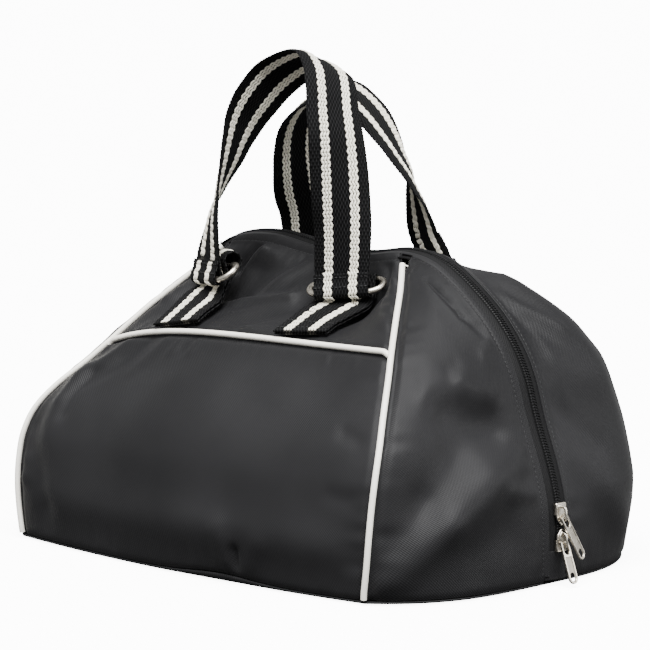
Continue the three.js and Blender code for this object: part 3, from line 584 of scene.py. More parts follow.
def bead_tree(name, even):
    """Beads along a path, evenly spaced by the pitch or at the path's own points."""
    tree, given, out = new_group(
        name,
        [("Path", "NodeSocketGeometry", None), ("Pitch", "NodeSocketFloat", 0.004),
         ("Length", "NodeSocketFloat", 0.003), ("Width", "NodeSocketFloat", 0.001),
         ("Height", "NodeSocketFloat", 0.001), ("Taper", "NodeSocketFloat", 0.0),
         ("Finish", "NodeSocketMaterial", None)],
        [("Beads", "NodeSocketGeometry")], "GeometryNodeTree")
    link = tree.links.new
    curve = tree.nodes.new("GeometryNodeMeshToCurve")
    link(given["Path"], curve.inputs[0])
    points = curve
    if even:
        points = node(tree, "GeometryNodeResampleCurve", mode="LENGTH")
        link(curve.outputs[0], points.inputs["Curve"])
        link(given["Pitch"], points.inputs["Length"])
    ball = node(tree, "GeometryNodeMeshUVSphere", Segments=BEAD_SIDES, Rings=BEAD_RINGS, Radius=0.5)
    where = tree.nodes.new("GeometryNodeInputPosition")
    parts = tree.nodes.new("ShaderNodeSeparateXYZ")
    link(where.outputs[0], parts.inputs[0])
    narrow = math_node(tree, "SUBTRACT", 1.0, math_node(tree, "MULTIPLY", parts.outputs[0], given["Taper"]))
    size = tree.nodes.new("ShaderNodeCombineXYZ")
    link(math_node(tree, "MULTIPLY", parts.outputs[0], given["Length"]), size.inputs[0])
    for axis, label in ((1, "Width"), (2, "Height")):
        scaled = math_node(tree, "MULTIPLY", parts.outputs[axis], given[label])
        link(math_node(tree, "MULTIPLY", scaled, narrow), size.inputs[axis])
    drop = tree.nodes.new("GeometryNodeSetPosition")
    link(ball.outputs["Mesh"], drop.inputs["Geometry"])
    link(size.outputs[0], drop.inputs["Position"])
    smooth = tree.nodes.new("GeometryNodeSetShadeSmooth")
    link(drop.outputs[0], smooth.inputs["Geometry"])
    up = node(tree, "GeometryNodeInputNamedAttribute", data_type="FLOAT_VECTOR", Name="up")
    slant = node(tree, "GeometryNodeInputNamedAttribute", data_type="FLOAT", Name="slant")
    facing = node(tree, "FunctionNodeAxesToRotation", primary_axis="Z", secondary_axis="X")
    link(up.outputs["Attribute"], facing.inputs[0])
    link(tree.nodes.new("GeometryNodeInputTangent").outputs[0], facing.inputs[1])
    spin = tree.nodes.new("ShaderNodeCombineXYZ")
    link(slant.outputs["Attribute"], spin.inputs[2])
    turned = node(tree, "FunctionNodeRotateRotation", rotation_space="LOCAL")
    link(facing.outputs[0], turned.inputs[0])
    link(spin.outputs[0], turned.inputs[1])
    beads = tree.nodes.new("GeometryNodeInstanceOnPoints")
    link(points.outputs[0], beads.inputs["Points"])
    link(smooth.outputs[0], beads.inputs["Instance"])
    link(turned.outputs[0], beads.inputs["Rotation"])
    real = tree.nodes.new("GeometryNodeRealizeInstances")
    link(beads.outputs[0], real.inputs[0])
    finish = tree.nodes.new("GeometryNodeSetMaterial")
    link(real.outputs[0], finish.inputs["Geometry"])
    link(given["Finish"], finish.inputs["Material"])
    link(finish.outputs[0], out["Beads"])
    return tree


def cord_tree():
    """A round cord swept along a path."""
    tree, given, out = new_group(
        "cord along a path",
        [("Path", "NodeSocketGeometry", None), ("Radius", "NodeSocketFloat", 0.002),
         ("Spacing", "NodeSocketFloat", 0.003), ("Finish", "NodeSocketMaterial", None)],
        [("Cord", "NodeSocketGeometry")], "GeometryNodeTree")
    link = tree.links.new
    curve = tree.nodes.new("GeometryNodeMeshToCurve")
    link(given["Path"], curve.inputs[0])
    spaced = node(tree, "GeometryNodeResampleCurve", mode="LENGTH")
    link(curve.outputs[0], spaced.inputs["Curve"])
    link(given["Spacing"], spaced.inputs["Length"])
    ring = node(tree, "GeometryNodeCurvePrimitiveCircle", Resolution=CORD_SIDES)
    link(given["Radius"], ring.inputs["Radius"])
    cord = node(tree, "GeometryNodeCurveToMesh", Fill_Caps=True)
    link(spaced.outputs[0], cord.inputs["Curve"])
    link(ring.outputs[0], cord.inputs["Profile Curve"])
    smooth = tree.nodes.new("GeometryNodeSetShadeSmooth")
    link(cord.outputs[0], smooth.inputs["Geometry"])
    finish = tree.nodes.new("GeometryNodeSetMaterial")
    link(smooth.outputs[0], finish.inputs["Geometry"])
    link(given["Finish"], finish.inputs["Material"])
    link(finish.outputs[0], out["Cord"])
    return tree


BEADS = bead_tree("beads along a path", True)
STRANDS = bead_tree("beads at a path's points", False)
CORD = cord_tree()


def path_object(name, paths):
    """A mesh of open lines whose points carry the way out of the cloth and a slant."""
    verts = []
    edges = []
    ups = []
    slants = []
    for line, up, slant in paths:
        start = len(verts)
        verts += (np.asarray(line) * MM).tolist()
        edges += [(start + i, start + i + 1) for i in range(len(line) - 1)]
        ups += np.broadcast_to(up, np.shape(line)).tolist()
        slants += [slant] * len(line)
    mesh = bpy.data.meshes.new(name)
    mesh.from_pydata(verts, edges, [])
    mesh.attributes.new("up", "FLOAT_VECTOR", "POINT").data.foreach_set("vector", np.ravel(ups))
    mesh.attributes.new("slant", "FLOAT", "POINT").data.foreach_set("value", slants)
    return make_object(name, mesh)


def grown(name, paths, tree, **inputs):
    """A plain mesh piece that a node tree grows along paths."""
    source = path_object(name + "_path", paths)
    modifier = source.modifiers.new("growth", "NODES")
    modifier.node_group = tree
    for item in tree.interface.items_tree:
        if item.in_out == "INPUT" and item.name in inputs:
            modifier[item.identifier] = inputs[item.name]
    bpy.context.view_layer.update()
    evaluated = source.evaluated_get(bpy.context.evaluated_depsgraph_get())
    mesh = bpy.data.meshes.new_from_object(evaluated)
    bpy.data.objects.remove(source)
    mesh.name = name
    for label in ("up", "slant"):
        if label in mesh.attributes:
            mesh.attributes.remove(mesh.attributes[label])
    return make_object(name, mesh)


def bead_size(length, width, height):
    """Inputs of a bead tree from sizes in millimetres."""
    return {"Length": length * MM, "Width": width * MM, "Height": height * MM}


def settle(piece, body, slot, *nodes):
    """Let a piece ride on a body and stand for its solids, whose parts are hidden; the slot is not used."""
    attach(piece, body)
    if nodes:
        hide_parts(*nodes)


print("trees", BEADS.name, "and", STRANDS.name, "and", CORD.name)

# %% [markdown]
# ## Cloth panels
# Each panel is one cut of cloth that is held by the seams round it. A patch that follows its four edges
# gives the taut shape. On top of it come the large folds of the solids, finer creases, the pinched
# ripples that a sewn seam leaves beside itself, and a slow unevenness, because no slack cloth is ever
# quite smooth.

# %% Folds and creases
# place on the panel from (u0, v0) to (u1, v1), width and depth outwards
FOLDS = {
    "panel": [(0.3, 0.1, 0.22, 0.8, 30, -3), (0.62, 0.05, 0.7, 0.7, 34, 2.5)],
    "front_yoke": [
        (0.1, 0.35, 0.9, 0.35, 34, -6), (0.12, 0.65, 0.28, 0.68, 30, -12),
        (0.74, 0.5, 0.82, 0.58, 26, -5), (0.82, 0.66, 0.9, 0.74, 22, -13),
    ],
    "back_yoke": [
        (0.1, 0.4, 0.9, 0.4, 36, -8), (0.18, 0.55, 0.28, 0.68, 30, -6), (0.74, 0.5, 0.82, 0.58, 26, -4),
    ],
    "right_front": [
        (0.28, 0.55, 0.72, 0.51, 17, 3), (0.4, 0.44, 0.74, 0.38, 16, -6), (0.1, 0.06, 0.8, 0.3, 17, 4),
        (0.34, 0.34, 0.1, 0.22, 15, -2.5),
    ],
    "left_front": [(0.5, 0.3, 0.45, 0.6, 24, -4)],
    "right_back": [(0.42, 0.2, 0.42, 0.45, 45, 8), (0.42, 0.56, 0.42, 0.74, 42, 14)],
    "left_back": [(0.45, 0.3, 0.45, 0.6, 40, 4)],
}
# finer creases, in the same columns
CREASES = {
    "front_panel": [
        (0.686, 0.0, 0.684, 0.10, 3, -3.6), (0.665, 0.01, 0.64, 0.17, 8, 2.2),
        (0.71, 0.01, 0.74, 0.13, 8, 1.5), (0.03, 0.46, 0.10, 0.14, 11, -3.4),
        (0.10, 0.76, 0.113, 0.53, 5, -2.4), (0.05, 0.80, 0.075, 0.60, 6, 1.8),
        (0.33, 0.99, 0.31, 0.90, 5, 1.2), (0.36, 0.99, 0.35, 0.91, 5, -1.1),
        (0.39, 0.99, 0.38, 0.90, 5, 1.0), (0.13, 0.97, 0.07, 0.76, 9, 2.2),
        (0.20, 0.97, 0.13, 0.73, 8, -1.9), (0.27, 0.97, 0.22, 0.80, 7, 1.3),
        (0.946, 0.58, 0.91, 0.60, 5, -1.1), (0.947, 0.35, 0.90, 0.36, 5, -1.0),
        (0.10, 0.62, 0.05, 0.30, 12, 1.5),
    ],
    "back_panel": [
        (0.38, 0.0, 0.40, 0.12, 5, -2.0), (0.7, 0.99, 0.66, 0.86, 6, 1.2), (0.2, 0.99, 0.26, 0.8, 8, 1.4),
        (0.87, 0.97, 0.93, 0.76, 9, 2.0), (0.80, 0.97, 0.86, 0.74, 8, -1.7),
    ],
    "front_yoke": [
        (0.52, 0.88, 0.34, 0.42, 8, 2.0), (0.47, 0.90, 0.30, 0.55, 8, -1.6),
        (0.56, 0.60, 0.38, 0.24, 7, 1.2), (0.262, 0.96, 0.212, 0.80, 7, 5.0),
        (0.225, 0.94, 0.175, 0.78, 7, -5.0), (0.29, 0.42, 0.55, 0.545, 5, 3.0),
        (0.30, 0.52, 0.50, 0.61, 9, -1.6), (0.925, 0.93, 0.89, 0.66, 6, -2.6),
        (0.955, 0.80, 0.93, 0.60, 6, 1.8), (0.60, 0.45, 0.44, 0.14, 7, -1.6),
        (0.31, 0.92, 0.22, 0.68, 13, 2.6), (0.86, 0.75, 0.96, 0.3, 8, 1.6),
        (0.14, 0.80, 0.05, 0.45, 9, 1.6), (0.78, 0.90, 0.86, 0.66, 8, -1.5),
        (0.66, 0.2, 0.52, 0.10, 6, 1.2),
    ],
    "back_yoke": [
        (0.48, 0.88, 0.66, 0.42, 8, 2.1), (0.53, 0.90, 0.70, 0.55, 8, -1.9),
        (0.44, 0.60, 0.62, 0.24, 7, 1.6), (0.40, 0.45, 0.56, 0.14, 7, -1.4),
        (0.69, 0.92, 0.78, 0.68, 13, 2.2), (0.14, 0.75, 0.05, 0.3, 8, 1.4),
    ],
    "right_front": [
        (0.24, 0.50, 0.50, 0.515, 9, 1.5), (0.50, 0.515, 0.76, 0.465, 9, 1.3),
        (0.72, 0.415, 0.45, 0.345, 15, -2.4), (0.45, 0.335, 0.24, 0.225, 15, -4.2),
        (0.24, 0.225, 0.10, 0.13, 10, -2.6), (0.90, 0.35, 0.60, 0.26, 13, 2.0),
        (0.60, 0.26, 0.35, 0.165, 12, 2.6), (0.35, 0.165, 0.06, 0.02, 9, 2.8),
        (0.70, 0.14, 0.50, 0.08, 14, -1.8), (0.747, 0.224, 0.97, 0.215, 6, 1.8),
        (0.86, 0.335, 0.80, 0.31, 6, -1.2), (0.97, 0.62, 0.80, 0.58, 6, 1.0),
        (0.62, 0.87, 0.78, 0.72, 4.5, -1.7), (0.78, 0.72, 0.90, 0.645, 4.5, -1.6),
        (0.85, 0.385, 0.82, 0.37, 8, -1.2), (0.48, 0.555, 0.43, 0.55, 9, -1.3),
    ],
    "left_front": [
        (0.02, 0.01, 0.4, 0.24, 8, 1.8), (0.9, 0.5, 0.6, 0.44, 8, 1.3), (0.3, 0.6, 0.7, 0.52, 10, 1.8),
    ],
    "right_back": [
        (0.97, 0.80, 0.60, 0.60, 6, 1.9), (0.95, 0.70, 0.60, 0.52, 8, -1.5),
        (0.90, 0.30, 0.40, 0.08, 13, 2.2), (0.93, 0.42, 0.66, 0.30, 9, -1.5),
        (0.30, 0.50, 0.12, 0.30, 9, 1.2),
    ],
    "left_back": [
        (0.96, 0.8, 0.6, 0.62, 7, 1.7), (0.9, 0.3, 0.5, 0.12, 11, 1.7), (0.4, 0.45, 0.7, 0.36, 9, -1.4),
    ],
}


def fold_height(folds, u, v, width, height):
    """Sum of the folds at places on a panel of the given width and height."""
    total = np.zeros(np.shape(u))
    for u0, v0, u1, v1, wide, depth in folds:
        run = np.array([(u1 - u0) * width, (v1 - v0) * height])
        x = (u - u0) * width
        y = (v - v0) * height
        share = np.clip((x * run[0] + y * run[1]) / (run @ run), 0, 1)
        off2 = ((x - share * run[0]) ** 2 + (y - share * run[1]) ** 2) / wide**2
        total += depth * np.exp(-off2)
    return total


FULL_TURN = 6.28             # range of a wave's chance start
UNEVEN = 0.32                # height of the slow waves, for a length of 90


def ripple(place, seed):
    """Uneven waves along a seam, from about -1 to 1."""
    chance = np.random.default_rng(seed)
    total = np.zeros(np.shape(place))
    for length, share in ((11, 0.35), (17, 0.4), (29, 0.45)):
        wave = 2 * np.pi * place / (length * chance.uniform(0.85, 1.15))
        total += share * np.sin(wave + chance.uniform(0, FULL_TURN))
    wave = 2 * np.pi * place / chance.uniform(70, 110)
    swell = 0.55 + 0.45 * np.sin(wave + chance.uniform(0, FULL_TURN))
    return total * swell


def unevenness(x, y, seed):
    """Slow waves over slack cloth, in all directions."""
    chance = np.random.default_rng(seed)
    total = np.zeros(np.shape(x))
    for length in (46, 58, 73, 91, 118, 150):
        turn = chance.uniform(0, np.pi)
        run = x * np.cos(turn) + y * np.sin(turn)
        total += length / 90 * np.sin(2 * np.pi * run / length + chance.uniform(0, FULL_TURN))
    return total * UNEVEN


def smooth_step(value, low, high):
    """From 0 below low to 1 above high, with a soft start and end."""
    share = np.clip((value - low) / (high - low), 0, 1)
    return share * share * (3 - 2 * share)


def hump(place, middle, wide):
    """A round hump of height 1 about a middle."""
    return np.exp(-((place - middle) / wide) ** 2)


# %% Panel surfaces
def between(edges, u, v):
    """Places on a patch that follows its four edges."""
    across = mix(edges["left"](v), edges["right"](v), u[..., None])
    up = mix(edges["bottom"](u), edges["top"](u), v[..., None])
    zero = np.zeros(1)
    one = np.ones(1)
    low = mix(edges["bottom"](zero), edges["bottom"](one), u[..., None])
    high = mix(edges["top"](zero), edges["top"](one), u[..., None])
    return across + up - mix(low, high, v[..., None])


class Panel:
    """The taut surface between four seams, and its way out of the bag."""

    def __init__(self, edges, folds, side):
        self.edges = edges
        self.folds = folds
        self.side = side
        zero = np.zeros(1)
        one = np.ones(1)
        self.width = np.linalg.norm(edges["bottom"](one) - edges["bottom"](zero))
        self.height = np.linalg.norm(edges["left"](one) - edges["left"](zero))

    def taut(self, u, v):
        return between(self.edges, u, v)

    def outward(self, u, v):
        step = 0.004
        du = self.taut(np.minimum(u + step, 1), v) - self.taut(np.maximum(u - step, 0), v)
        dv = self.taut(u, np.minimum(v + step, 1)) - self.taut(u, np.maximum(v - step, 0))
        return unit(np.cross(du, dv)) * -self.side

    def folded(self, u, v):
        fade = np.minimum(1, 5 * np.minimum.reduce([u, 1 - u, v, 1 - v]))
        rise = fold_height(self.folds, u, v, self.width, self.height) * np.maximum(fade, 0)
        return self.taut(u, v) + self.outward(u, v) * rise[..., None]


def half_edges(half, sy):
    """Edges of the panel and the yoke of a half of the bag."""
    seams = {end: SEAMS[end, half] for end in ENDS}
    share = {end: joint_share(seams[end]) for end in ENDS}
    low = {end: (lambda v, end=end: seams[end].along(v * share[end])) for end in ENDS}
    high = {end: (lambda v, end=end: seams[end].along(mix(share[end], 1, v))) for end in ENDS}
    panel = {
        "bottom": lambda u: base_side(u, sy), "top": lambda u: level_seam(u, sy),
        "left": low["left"], "right": low["right"]}
    yoke = {
        "bottom": lambda u: level_seam(u, sy), "top": lambda u: zip_edge(mix(1 - APEX, APEX, u), sy),
        "left": high["left"], "right": high["right"]}
    return panel, yoke


def side_edges(end, sx, half, sy):
    """Edges of a three-cornered end panel."""
    seam = SEAMS[end, half]
    depth = corner(CORNER_ROWS[0], sy)[1]

    def zip_side(v):
        return zip_edge(mix(1, APEX, v) if sx > 0 else mix(0, 1 - APEX, v), sy)

    return {
        "bottom": lambda u: base_end(sy * mix(depth, ZIP_HALF + SEAM_GAP, u), sx),
        "top": lambda u: mix(seam.along(np.ones(1)), zip_side(np.ones(1)), u[..., None]),
        "left": seam.along, "right": zip_side}


PANELS = {}
for half, sy in HALVES.items():
    panel, yoke = half_edges(half, sy)
    PANELS[half + "_panel"] = Panel(panel, FOLDS["panel"], sy)
    PANELS[half + "_yoke"] = Panel(yoke, FOLDS[half + "_yoke"], sy)
    for end, sx in ENDS.items():
        surface = Panel(side_edges(end, sx, half, sy), FOLDS[end + "_" + half], sy * sx)
        PANELS["side_panel_" + end + "_" + half] = surface
print("panels", list(PANELS))


# %% Cloth of a panel
PIPED = 0.9                  # from a piped seam's middle to the cloth, which ends inside the piping
GROOVE = 3.0                 # from a piped seam's middle to the groove beside the piping
GROOVE_DEPTH = 2.2
GROOVE_WIDE = 1.9
HEM = 1.2                    # from the zip's seam to the row of stitches
HEM_GAP = 0.3                # from the zip's seam to the first row of the hem
HEM_RISE = 0.95              # height of the cloth's turned edge beside the zip
STITCH_SINK = 0.45           # how far the row of stitches is pulled in
STITCH_WIDE = 0.55
PUCKER = 0.7                 # height of the puckers beside a seam, where no other is given
PUCKER_AT = 5                # from a seam to its highest puckers
PUCKER_WIDE = 11
FLOOR_GAP = 0.2              # from the base seam to the cloth of a wall
ROLL_AT = 26                 # from the base seam to the middle of a wall's low roll
ROLL_WIDE = 15
FOOT_TUCK = 1.2              # how far a wall's foot is tucked in at the base
FOOT_DROP = 3.6              # how far the base seam lies below its straight line
FRONT_FOOT = (45, 38)        # middle and half width, along X, of the drawn-up foot of the front wall
BACK_FOOT = (-40, 45)        # the same for the back wall
# the turned hem over the tape: from the zip's middle, and level on the zip
HEM_ROWS = np.array([
    (12.1, -1.4), (11.4, -1.12), (10.6, -0.85), (9.9, -0.62), (9.3, -0.5), (8.9, -0.62), (8.7, -1.0)])
NEAR_PIPING = [0, 0.8, 1.8, 3.2, 5]
NEAR_ZIP = [0, 0.45, 0.9, 1.35, 1.9, 2.8, 4.2, 6, 8.5, 11.5]
NEAR_BASE = [0, 0.5, 1.3, 2.4, 4, 6]


def spread(count, first, last, lengths, first_gap, last_gap):
    """Shares across a panel for each row: close together near both edges and even in between."""
    lengths = np.asarray(lengths)[..., None]
    low = (np.array(first) + first_gap) / lengths
    high = 1 - (np.array(last[::-1]) + last_gap) / lengths
    even = np.linspace(0, 1, count + 2)[1:-1]
    middle = mix(low[..., -1:], high[..., :1], even)
    return np.concatenate([low, np.broadcast_to(middle, lengths.shape[:-1] + even.shape), high], axis=-1)


def panel_places(panel, columns, rows, near, gaps, reach):
    """Places u and v of a panel's cloth, with close rows where it is sewn."""
    even = np.linspace(0, 1, 60)
    heights = np.linalg.norm(panel.edges["top"](even) - panel.edges["bottom"](even), axis=-1)
    v_rows = spread(rows, near["bottom"], near["top"], heights * reach, gaps["bottom"], gaps["top"]) * reach
    nominal = np.linspace(0, 1, columns + len(near["left"]) + len(near["right"]))
    v = np.stack([np.interp(nominal, even, v_rows[:, j]) for j in range(v_rows.shape[1])], axis=1)
    widths = np.linalg.norm(panel.edges["right"](v) - panel.edges["left"](v), axis=-1)
    u_rows = spread(columns, near["left"], near["right"], widths, gaps["left"], gaps["right"])
    u = np.take_along_axis(u_rows, np.arange(len(nominal))[:, None, None], axis=2)[..., 0]
    return u, v, widths, np.interp(nominal, even, heights)[:, None]


def seam_drop(places):
    """How far the base seam lies below its straight line: little where a wall's foot is drawn up."""
    x = places[..., 0]
    y = places[..., 1]
    drawn = np.where(y < 0, hump(x, *FRONT_FOOT), hump(x, *BACK_FOOT))
    return FOOT_DROP * (1 - drawn * smooth_step(np.abs(y), 60, 110))


def zip_hem(share, sy):
    """The hem that lies over the tape, from the seam towards the zip's teeth, at shares of the zip."""
    middle, _, out = zip_frame(share)
    hem = middle[:, None] + out[:, None] * HEM_ROWS[None, :, 1:]
    hem[..., 1] = sy * HEM_ROWS[:, 0]
    return hem, np.broadcast_to(out[:, None], hem.shape)


def zip_places(name, u, v):
    """Shares of the zip beside a panel's sewn edge, and the side of the zip."""
    sy = HALVES["front" if "front" in name else "back"]
    if "yoke" in name:
        return mix(1 - APEX, APEX, u[:, -1]), sy
    return (mix(1, APEX, v[-1]) if "right" in name else mix(0, 1 - APEX, v[-1])), sy


def sewn_hem(name, zip_side, u, v, grids):
    """A panel's grids of places, ways out and flat cloth, with the hem added along its zip side."""
    along, sy = zip_places(name, u, v)
    hem, hem_out = zip_hem(along, sy)
    over = ZIP_HALF + SEAM_GAP - HEM_ROWS[:, 0]
    top = zip_side == "top"
    flat = grids[-1]
    last = flat[:, -1:] if top else flat[-1][:, None]
    added = [hem, hem_out, last + over[None, :, None] * np.array((0, 1) if top else (1, 0))]
    if not top:
        added = [np.swapaxes(grid, 0, 1) for grid in added]
    return [np.concatenate(pair, axis=int(top)) for pair in zip(grids, added)]


def cloth_panel(name, columns, rows, near, gaps, seed, reach=1.0, slack=1.0, roll=0.0, zip_side=None,
                creases=()):
    """The cloth of a panel as a thin closed wall, with its folds, creases, puckers and hem."""
    panel = PANELS[name]
    u, v, widths, heights = panel_places(panel, columns, rows, near, gaps, reach)
    from_edge = {
        "left": u * widths, "right": (1 - u) * widths, "bottom": v * heights, "top": (1 - v) * heights}
    x = u * panel.width
    y = v * panel.height
    free = np.minimum.reduce(list(from_edge.values()))
    rise = fold_height(creases, u, v, panel.width, panel.height) * smooth_step(free, 0.5, 9)
    rise += slack * unevenness(x, y, seed) * smooth_step(free, 4, 40)
    for i, (side, place) in enumerate((("left", y), ("right", y), ("bottom", x), ("top", x))):
        away = from_edge[side]
        depth = {"bottom": 0.35, "top": 0.4, zip_side: 0.4}.get(side, PUCKER)
        beside = hump(away, PUCKER_AT, PUCKER_WIDE) * smooth_step(away, 1, 5)
        rise += slack * depth * ripple(place, seed + 10 + i) * beside
    if zip_side:
        away = from_edge[zip_side]
        rise += HEM_RISE * (1 - smooth_step(away, 0.6, 4.5))
        rise -= STITCH_SINK * hump(away, HEM, STITCH_WIDE)
    for side in near:
        if near[side] is NEAR_PIPING:
            rise -= GROOVE_DEPTH * hump(from_edge[side], GROOVE, GROOVE_WIDE)
    from_corner = np.minimum(x, panel.width - x)
    rise += roll * hump(from_edge["bottom"], ROLL_AT, ROLL_WIDE) * smooth_step(from_corner, 2, 40)
    on_floor = gaps["bottom"] == FLOOR_GAP
    rise -= FOOT_TUCK * (1 - smooth_step(from_edge["bottom"], 0.0, 3.5)) * on_floor
    outward = panel.outward(np.clip(u, 0, 1), np.clip(v, 0, 1))
    outer = panel.folded(np.clip(u, 0, 1), np.clip(v, 0, 1)) + outward * rise[..., None]
    outer[..., 2] -= seam_drop(outer) * (1 - smooth_step(from_edge["bottom"], 0, 14)) * on_floor
    flat = np.stack([x, y], axis=-1)
    if zip_side:
        outer, outward, flat = sewn_hem(name, zip_side, u, v, (outer, outward, flat))
    inner = outer - outward * CLOTH
    verts, faces = wall_mesh(outer, inner)
    flat = flat.reshape(-1, 2)
    piece = make_piece("cloth_" + name, verts, faces, NYLON, np.vstack([flat, flat]))
    settle(piece, "bag", "nylon", name)
    return piece, outer, outward


PIPED_EDGES = {"left": NEAR_PIPING, "right": NEAR_PIPING}
CLOTHS = {}
for k, half in enumerate(HALVES):
    near = {**PIPED_EDGES, "bottom": NEAR_BASE, "top": NEAR_PIPING}
    gaps = {"left": PIPED, "right": PIPED, "bottom": FLOOR_GAP, "top": PIPED}
    name = half + "_panel"
    CLOTHS[name] = cloth_panel(name, 128, 66, near, gaps, 100 + k, roll=3.4, creases=CREASES[name])
    near = {**PIPED_EDGES, "bottom": NEAR_PIPING, "top": NEAR_ZIP}
    gaps = {"left": PIPED, "right": PIPED, "bottom": PIPED, "top": HEM_GAP}
    name = half + "_yoke"
    CLOTHS[name] = cloth_panel(
        name, 116, 32, near, gaps, 120 + k, slack=1.15, zip_side="top", creases=CREASES[name])
    for end, sx in ENDS.items():
        near = {"left": NEAR_PIPING, "right": NEAR_ZIP, "bottom": NEAR_BASE, "top": [0, 1, 2]}
        gaps = {"left": PIPED, "right": HEM_GAP, "bottom": FLOOR_GAP, "top": 0}
        name = "side_panel_" + end + "_" + half
        CLOTHS[name] = cloth_panel(
            name, 50, 100, near, gaps, 140 + 7 * k + sx, reach=0.965 if sx > 0 else 0.945, zip_side="right",
            creases=CREASES[end + "_" + half])
print("cloth", {name: len(made[0].data.polygons) for name, made in CLOTHS.items()})

# %% [markdown]
# ## Base
# The base is a shallow tray of the same cloth over a board. It turns up at its edge, where the walls are
# sewn to it, and it is flat underneath, because the bag stands on it.

# %% Base tray
OUTLINE_STEPS = (150, 110)   # along a long side and along an end
# inset from the seam and height of each ring, from the middle of the underside to the middle of the inside
TRAY_ROWS = [
    (60, 0), (20, 0), (9, 0), (7, 0.02), (5, 0.15), (3.5, 0.5), (2.1, 1.2), (1.1, 2.3), (0.6, 3.6),
    (0.6, 4.9), (1.1, 5.6), (2.0, 5.5), (2.4, 4.6), (3.2, 3.3), (5.5, 2.3), (9, 2), (20, 2), (60, 2)]


def base_outline():
    """The base seam as one closed loop."""
    side_steps, end_steps = OUTLINE_STEPS
    parts = []
    for sy in (-1, 1):
        u = np.arange(side_steps) / side_steps
        parts.append(base_side(u if sy < 0 else 1 - u, sy))
        feet = [side * corner(CORNER_ROWS[0], side)[1] for side in (sy, -sy)]
        parts.append(base_end(mix(feet[0], feet[1], np.arange(end_steps) / end_steps), -sy))
    return np.vstack(parts)


def base_tray():
    """The base as rings from below to above, closed by a fan at each end."""
    loop = base_outline()
    run = unit(np.roll(loop, -1, axis=0) - np.roll(loop, 1, axis=0))
    low = 1 - seam_drop(loop) / BASE_SEAM
    rings = np.stack([
        loop + point(-run[:, 1] * inset, run[:, 0] * inset, z * low - BASE_SEAM) for inset, z in TRAY_ROWS])
    count = len(loop)
    verts = rings.reshape(-1, 3)
    faces = [ring_faces(len(TRAY_ROWS), count)]
    for ring, turn in ((0, -1), (len(TRAY_ROWS) - 1, 1)):
        middle = len(verts)
        verts = np.vstack([verts, rings[ring].mean(axis=0)])
        edge = ring * count + np.arange(count)
        fan = np.stack([np.full(count, middle), edge, np.roll(edge, -1), np.roll(edge, -1)], -1)
        faces.append(fan if turn > 0 else fan[:, ::-1])
    faces = [tuple(dict.fromkeys(face)) for face in np.vstack(faces).tolist()]
    piece = dressed_object("cloth_base", verts, faces, NYLON, verts[:, :2])
    settle(piece, "bag", "nylon", "base_panel")
    return piece


BASE = base_tray()
print("base", len(BASE.data.polygons), "faces")

# %% [markdown]
# ## Piping
# A cord wrapped in cream cloth is sewn into each corner seam and each level seam. It is swept along the
# seam as a round cord. At the top it is cut off and its cloth runs on as a thin tail, and a level piping
# turns down under the corner piping.

# %% Piping cords
CORD_STEP = 1.22             # from section to section of a cord, in radii
CORD_SPAN = (0.004, 0.982)   # shares of a corner seam between which its cord runs
LEVEL_FREE = 2.0 / 300       # share of a level seam that its cord leaves free at each end
LEVEL_DROP = 2.6             # how far a level cord turns down at its ends
LEVEL_TURN = 4.5             # length over which it does
TAIL_RADIUS = 0.5
# across and up from the cord's cut end
TAIL = [(0.4, 0), (2.2, -0.6), (4.0, -1.0), (5.6, -0.4), (6.2, 0.9), (5.0, 2.9)]


def piping_piece(name, line, radius, *nodes):
    """A round cord along a line."""
    piece = grown(
        name, [(line, (0, 0, 1), 0.0)], CORD,
        Radius=radius * MM, Spacing=radius * CORD_STEP * MM, Finish=PIPING)
    settle(piece, "bag", "piping", *nodes)


for half, sy in HALVES.items():
    for end, sx in ENDS.items():
        line = SEAMS[end, half].along(np.linspace(*CORD_SPAN, 160))
        foot = line[:1] + point(-sx * 0.4, -sy * 0.4, -3.4)
        piping_piece(f"cord_{end}_{half}", np.vstack([foot, line]), PIPING_RADIUS, f"piping_{end}_{half}")
        across = point(sx * 0.72, -sy * 0.69, 0)
        up = point(-sx * 0.09, -sy * 0.09, 0.99)
        out = point(sx * 0.69, sy * 0.71, 0.13)
        tail = np.array([line[-1] + across * a + up * b + out * 1.4 for a, b in TAIL])
        piping_piece(f"cord_tail_{end}_{half}", Line(tail).at(np.linspace(0, 1, 30)), TAIL_RADIUS)
    line = level_seam(np.linspace(LEVEL_FREE, 1 - LEVEL_FREE, 140), sy)
    from_end = np.minimum(line[:, 0] - line[0, 0], line[-1, 0] - line[:, 0])
    line[:, 2] -= LEVEL_DROP * np.clip(1 - from_end / LEVEL_TURN, 0, 1) ** 1.5
    piping_piece(f"cord_level_{half}", line, PIPING_RADIUS, f"piping_yoke_{half}")

# %% [markdown]
# ## Zip
# Two woven tapes lie under the edges of the cloth and carry a coil of nylon teeth. The coil is a row of
# beads on each side of the middle, half a pitch apart, so the two rows mesh. Cloth patches close both
# ends near the floor.

# %% Tapes and patches
# sideways place and level of the tape's upper side, of the end patch's and of the coil's core all round
TAPE_TOP = [(CHAIN_HALF - 0.4, 0.1), (4.5, 0), (7, -0.7), (9.5, -1.6), (11.5, -2.8), (12.4, -4.2)]
PATCH_TOP = [
    (-14.5, -4.2), (-12, -2.4), (-8, -1.0), (-4, 0.3), (0, 0.6),
    (4, 0.3), (8, -1.0), (12, -2.4), (14.5, -4.2)]
CORE = [
    (-2.6, 0.35), (-1.3, 0.6), (0, 0.55), (1.3, 0.6), (2.6, 0.35), (2.6, -0.9), (0, -1.1), (-2.6, -0.9)]
PATCH_THICK = 1.2
PATCH_LAP = 0.002            # share of the zip that a patch laps over the tapes
PATCH_FOOT = 0.0015          # share of the zip left free below a patch
